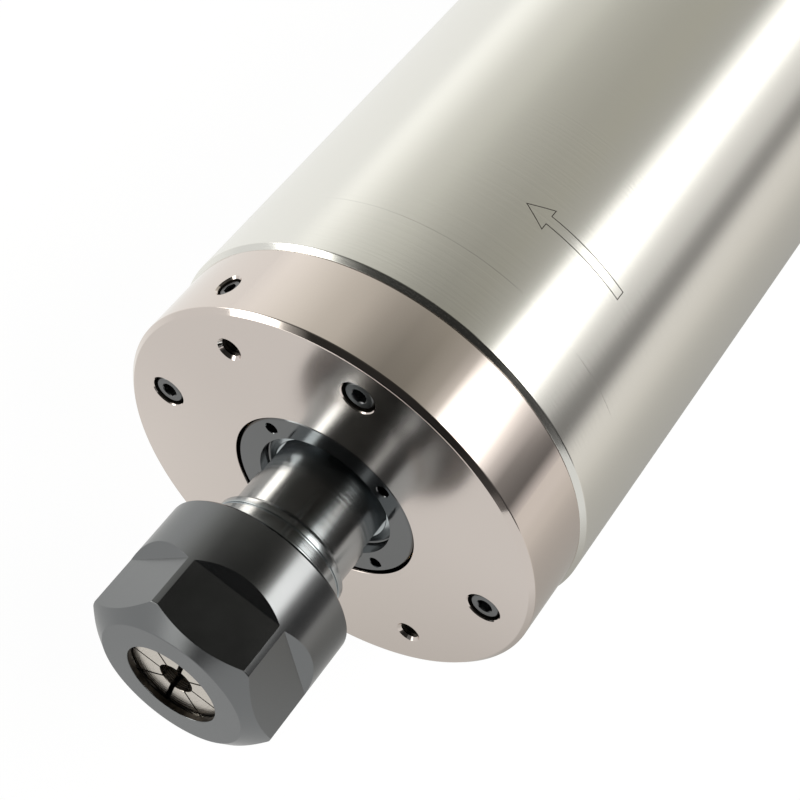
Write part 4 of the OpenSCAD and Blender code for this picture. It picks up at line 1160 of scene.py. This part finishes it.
PIN_CIRCLE_R = 3.7
PIN_TURNS = [45, 135, 225, 315]
PIN_R = 0.75
PIN_TAIL_R = 1.0
PIN_HOLE_R = 0.8
PIN_HOLE_EDGE = 0.3
insulator_back = rear_face - 6
insulator_top = rear_face + 4
insulator_step = rear_face + SEAT_Y + REAR_GAP
insulator = turned("socket_insulator", [
    (0, insulator_back, 0), (SEAT_R - 0.05, insulator_back, 0), (SEAT_R - 0.05, insulator_step, 0),
    (SHELL_BORE - 0.1, insulator_step, 0), (SHELL_BORE - 0.1, insulator_top, 0.1), (0, insulator_top, 0),
], 96)
cut(insulator, [
    at_turn(turned("tool", [
        (0, insulator_back - 1, 0), (PIN_HOLE_R, insulator_back - 1, 0),
        (PIN_HOLE_R, insulator_top - PIN_HOLE_EDGE, 0), (PIN_HOLE_R + PIN_HOLE_EDGE, insulator_top, 0),
        (PIN_HOLE_R + PIN_HOLE_EDGE, insulator_top + 1, 0), (0, insulator_top + 1, 0),
    ], 24), a, PIN_CIRCLE_R)
    for a in PIN_TURNS
])
at_turn(insulator, SOCKET_TURN, SOCKET_CIRCLE)
smooth(insulator)

# Moulded nylon: black, dull and very finely grained.
NYLON_GRAIN_MM = 0.3
moulded_nylon, tree = bare_material("moulded_black_nylon")
grain = add_node(tree, "TexNoise", {
    "Vector": add_node(tree, "TexCoord").outputs["Object"], "Scale": 1000 / NYLON_GRAIN_MM, "Detail": 3.0,
})
bump = add_node(tree, "Bump", {"Height": grain.outputs["Fac"], "Strength": 0.6, "Distance": 0.01 * MM})
skin = add_node(tree, "BsdfPrincipled", {
    "Base Color": paint("#1B1B1C"), "Roughness": 0.45, "IOR": 1.53, "Normal": bump.outputs[0],
})
add_node(tree, "OutputMaterial", {"Surface": skin.outputs[0]})
fit(insulator, moulded_nylon, "housing", "black_plastic", "socket_insulator")

pin_step = insulator_back - REAR_GAP
pin_tip = rear_face + 7.2
pins = []
for a in PIN_TURNS:
    pin = turned("socket_pins", [
        (0, rear_face - 10, 0), (PIN_TAIL_R, rear_face - 10, 0), (PIN_TAIL_R, pin_step, 0),
        (PIN_R, pin_step, 0), (PIN_R, pin_tip - 0.5, 0.3), (0.3, pin_tip, 0.1), (0, pin_tip, 0),
    ], 32)
    pins.append(at_turn(pin, a, PIN_CIRCLE_R))
pins = at_turn(joined(pins), SOCKET_TURN, SOCKET_CIRCLE)
smooth(pins)
# Gold plate over brass: bright yellow.
gold_plate = turned_metal("gold_plated_brass", "#E3BE6A", 0.18, 0.03, 0.0, 0.3, 0.0003)
fit(pins, gold_plate, "housing", "brass", "socket_pins")

# Bearings, spacers and rings
# Rings and balls of lapped bearing steel that mirrors, spacers and springs of ground steel that
# shines softly, and cages and balance rings turned from brass. They keep their CAD shapes.


def give(material, *names):
    """Gives CAD nodes, which stay as they are, their finish."""
    for name in names:
        nodes[name].data.materials.clear()
        nodes[name].data.materials.append(material)


lapped_steel = turned_metal("lapped_bearing_steel", "#CFD1D4", 0.06, 0.02, 0.0, 0.4, 0.0001)
ground_steel = turned_metal("ground_steel", "#B4B6B9", 0.28, 0.05, 0.3, 0.3, 0.0006)
turned_brass = turned_metal("turned_brass", "#D9B465", 0.22, 0.04, 0.2, 0.3, 0.0006)
give(lapped_steel, "front_outer_rings", "front_inner_rings", "front_balls")
give(lapped_steel, "rear_outer_rings", "rear_inner_rings", "rear_balls")
give(ground_steel, "front_outer_spacer", "front_inner_spacer", "rear_outer_spacer", "rear_inner_spacer")
give(ground_steel, "bearing_clamp_ring", "preload_springs", "extraction_ring")
give(turned_brass, "front_cages", "rear_cages", "front_balance_ring", "rear_balance_ring")
give(blacked_screw, "clamp_ring_screws", "rear_lock_nut")

# Motor and cooling jacket
# Machined aluminium for the jacket and the bearing carrier, stacked sheet iron for the cores,
# and enamelled copper wire for the windings.

milled_aluminium = turned_metal("milled_aluminium", "#D5D7DA", 0.32, 0.06, 0.2, 0.6, 0.002)
stacked_iron = turned_metal("stacked_sheet_iron", "#8B8D91", 0.45, 0.08, 0.3, 0.5, 0.01)

give(milled_aluminium, "water_jacket", "rear_carrier", "rotor_end_rings")
give(stacked_iron, "stator_core", "rotor_core")

# Enamelled copper wire: amber red, glossy, in uneven strands.
STRANDS_MM = 5.0
wound_copper, tree = bare_material("enamelled_copper_wire")
strands = add_node(tree, "TexWave", {
    "Vector": add_node(tree, "TexCoord").outputs["Object"], "Scale": 1000 / STRANDS_MM,
    "Distortion": 2.0, "Detail": 2.0,
}, bands_direction="Y")
bump = add_node(tree, "Bump", {"Height": strands.outputs["Fac"], "Strength": 0.8, "Distance": 0.2 * MM})
skin = add_node(tree, "BsdfPrincipled", {
    "Base Color": paint("#B5622E"), "Metallic": 0.8, "Roughness": 0.35, "Normal": bump.outputs[0],
})
add_node(tree, "OutputMaterial", {"Surface": skin.outputs[0]})

give(wound_copper, "stator_windings")

# Moulded nitrile rubber: nearly black and dull, as the seals are.
RUBBER_GRAIN_MM = 0.5
moulded_rubber, tree = bare_material("moulded_nitrile_rubber")
grain = add_node(tree, "TexNoise", {
    "Vector": add_node(tree, "TexCoord").outputs["Object"], "Scale": 1000 / RUBBER_GRAIN_MM,
})
tone = add_node(tree, "ValToRGB", {"Fac": grain.outputs["Fac"]})
ramp_stops(tone, [(NOISE_LOW, paint("#151515")), (NOISE_HIGH, paint("#212121"))])
skin = add_node(tree, "BsdfPrincipled", {"Base Color": tone.outputs["Color"], "Roughness": 0.6, "IOR": 1.5})
add_node(tree, "OutputMaterial", {"Surface": skin.outputs[0]})

give(moulded_rubber, "front_cover_seal", "carrier_seal", "rear_cover_seal")

# Varnished woven sleeve on the lead wires: yellow, with a fine slanting weave.
WEAVE_MM = 1.0
wire_sleeve, tree = bare_material("varnished_wire_sleeve")
weave = add_node(tree, "TexWave", {
    "Vector": add_node(tree, "TexCoord").outputs["Object"], "Scale": 1000 / WEAVE_MM,
}, bands_direction="DIAGONAL")
tone = add_node(tree, "ValToRGB", {"Fac": weave.outputs["Fac"]})
ramp_stops(tone, [(0.3, paint("#C79A33")), (0.7, paint("#E0BD63"))])
skin = add_node(tree, "BsdfPrincipled", {"Base Color": tone.outputs["Color"], "Roughness": 0.4, "IOR": 1.5})
add_node(tree, "OutputMaterial", {"Surface": skin.outputs[0]})

give(wire_sleeve, "lead_wires")

soft_copper = turned_metal("soft_copper_washer", "#C9825A", 0.3, 0.05, 0.1, 0.4, 0.001)
give(soft_copper, "fitting_washers")
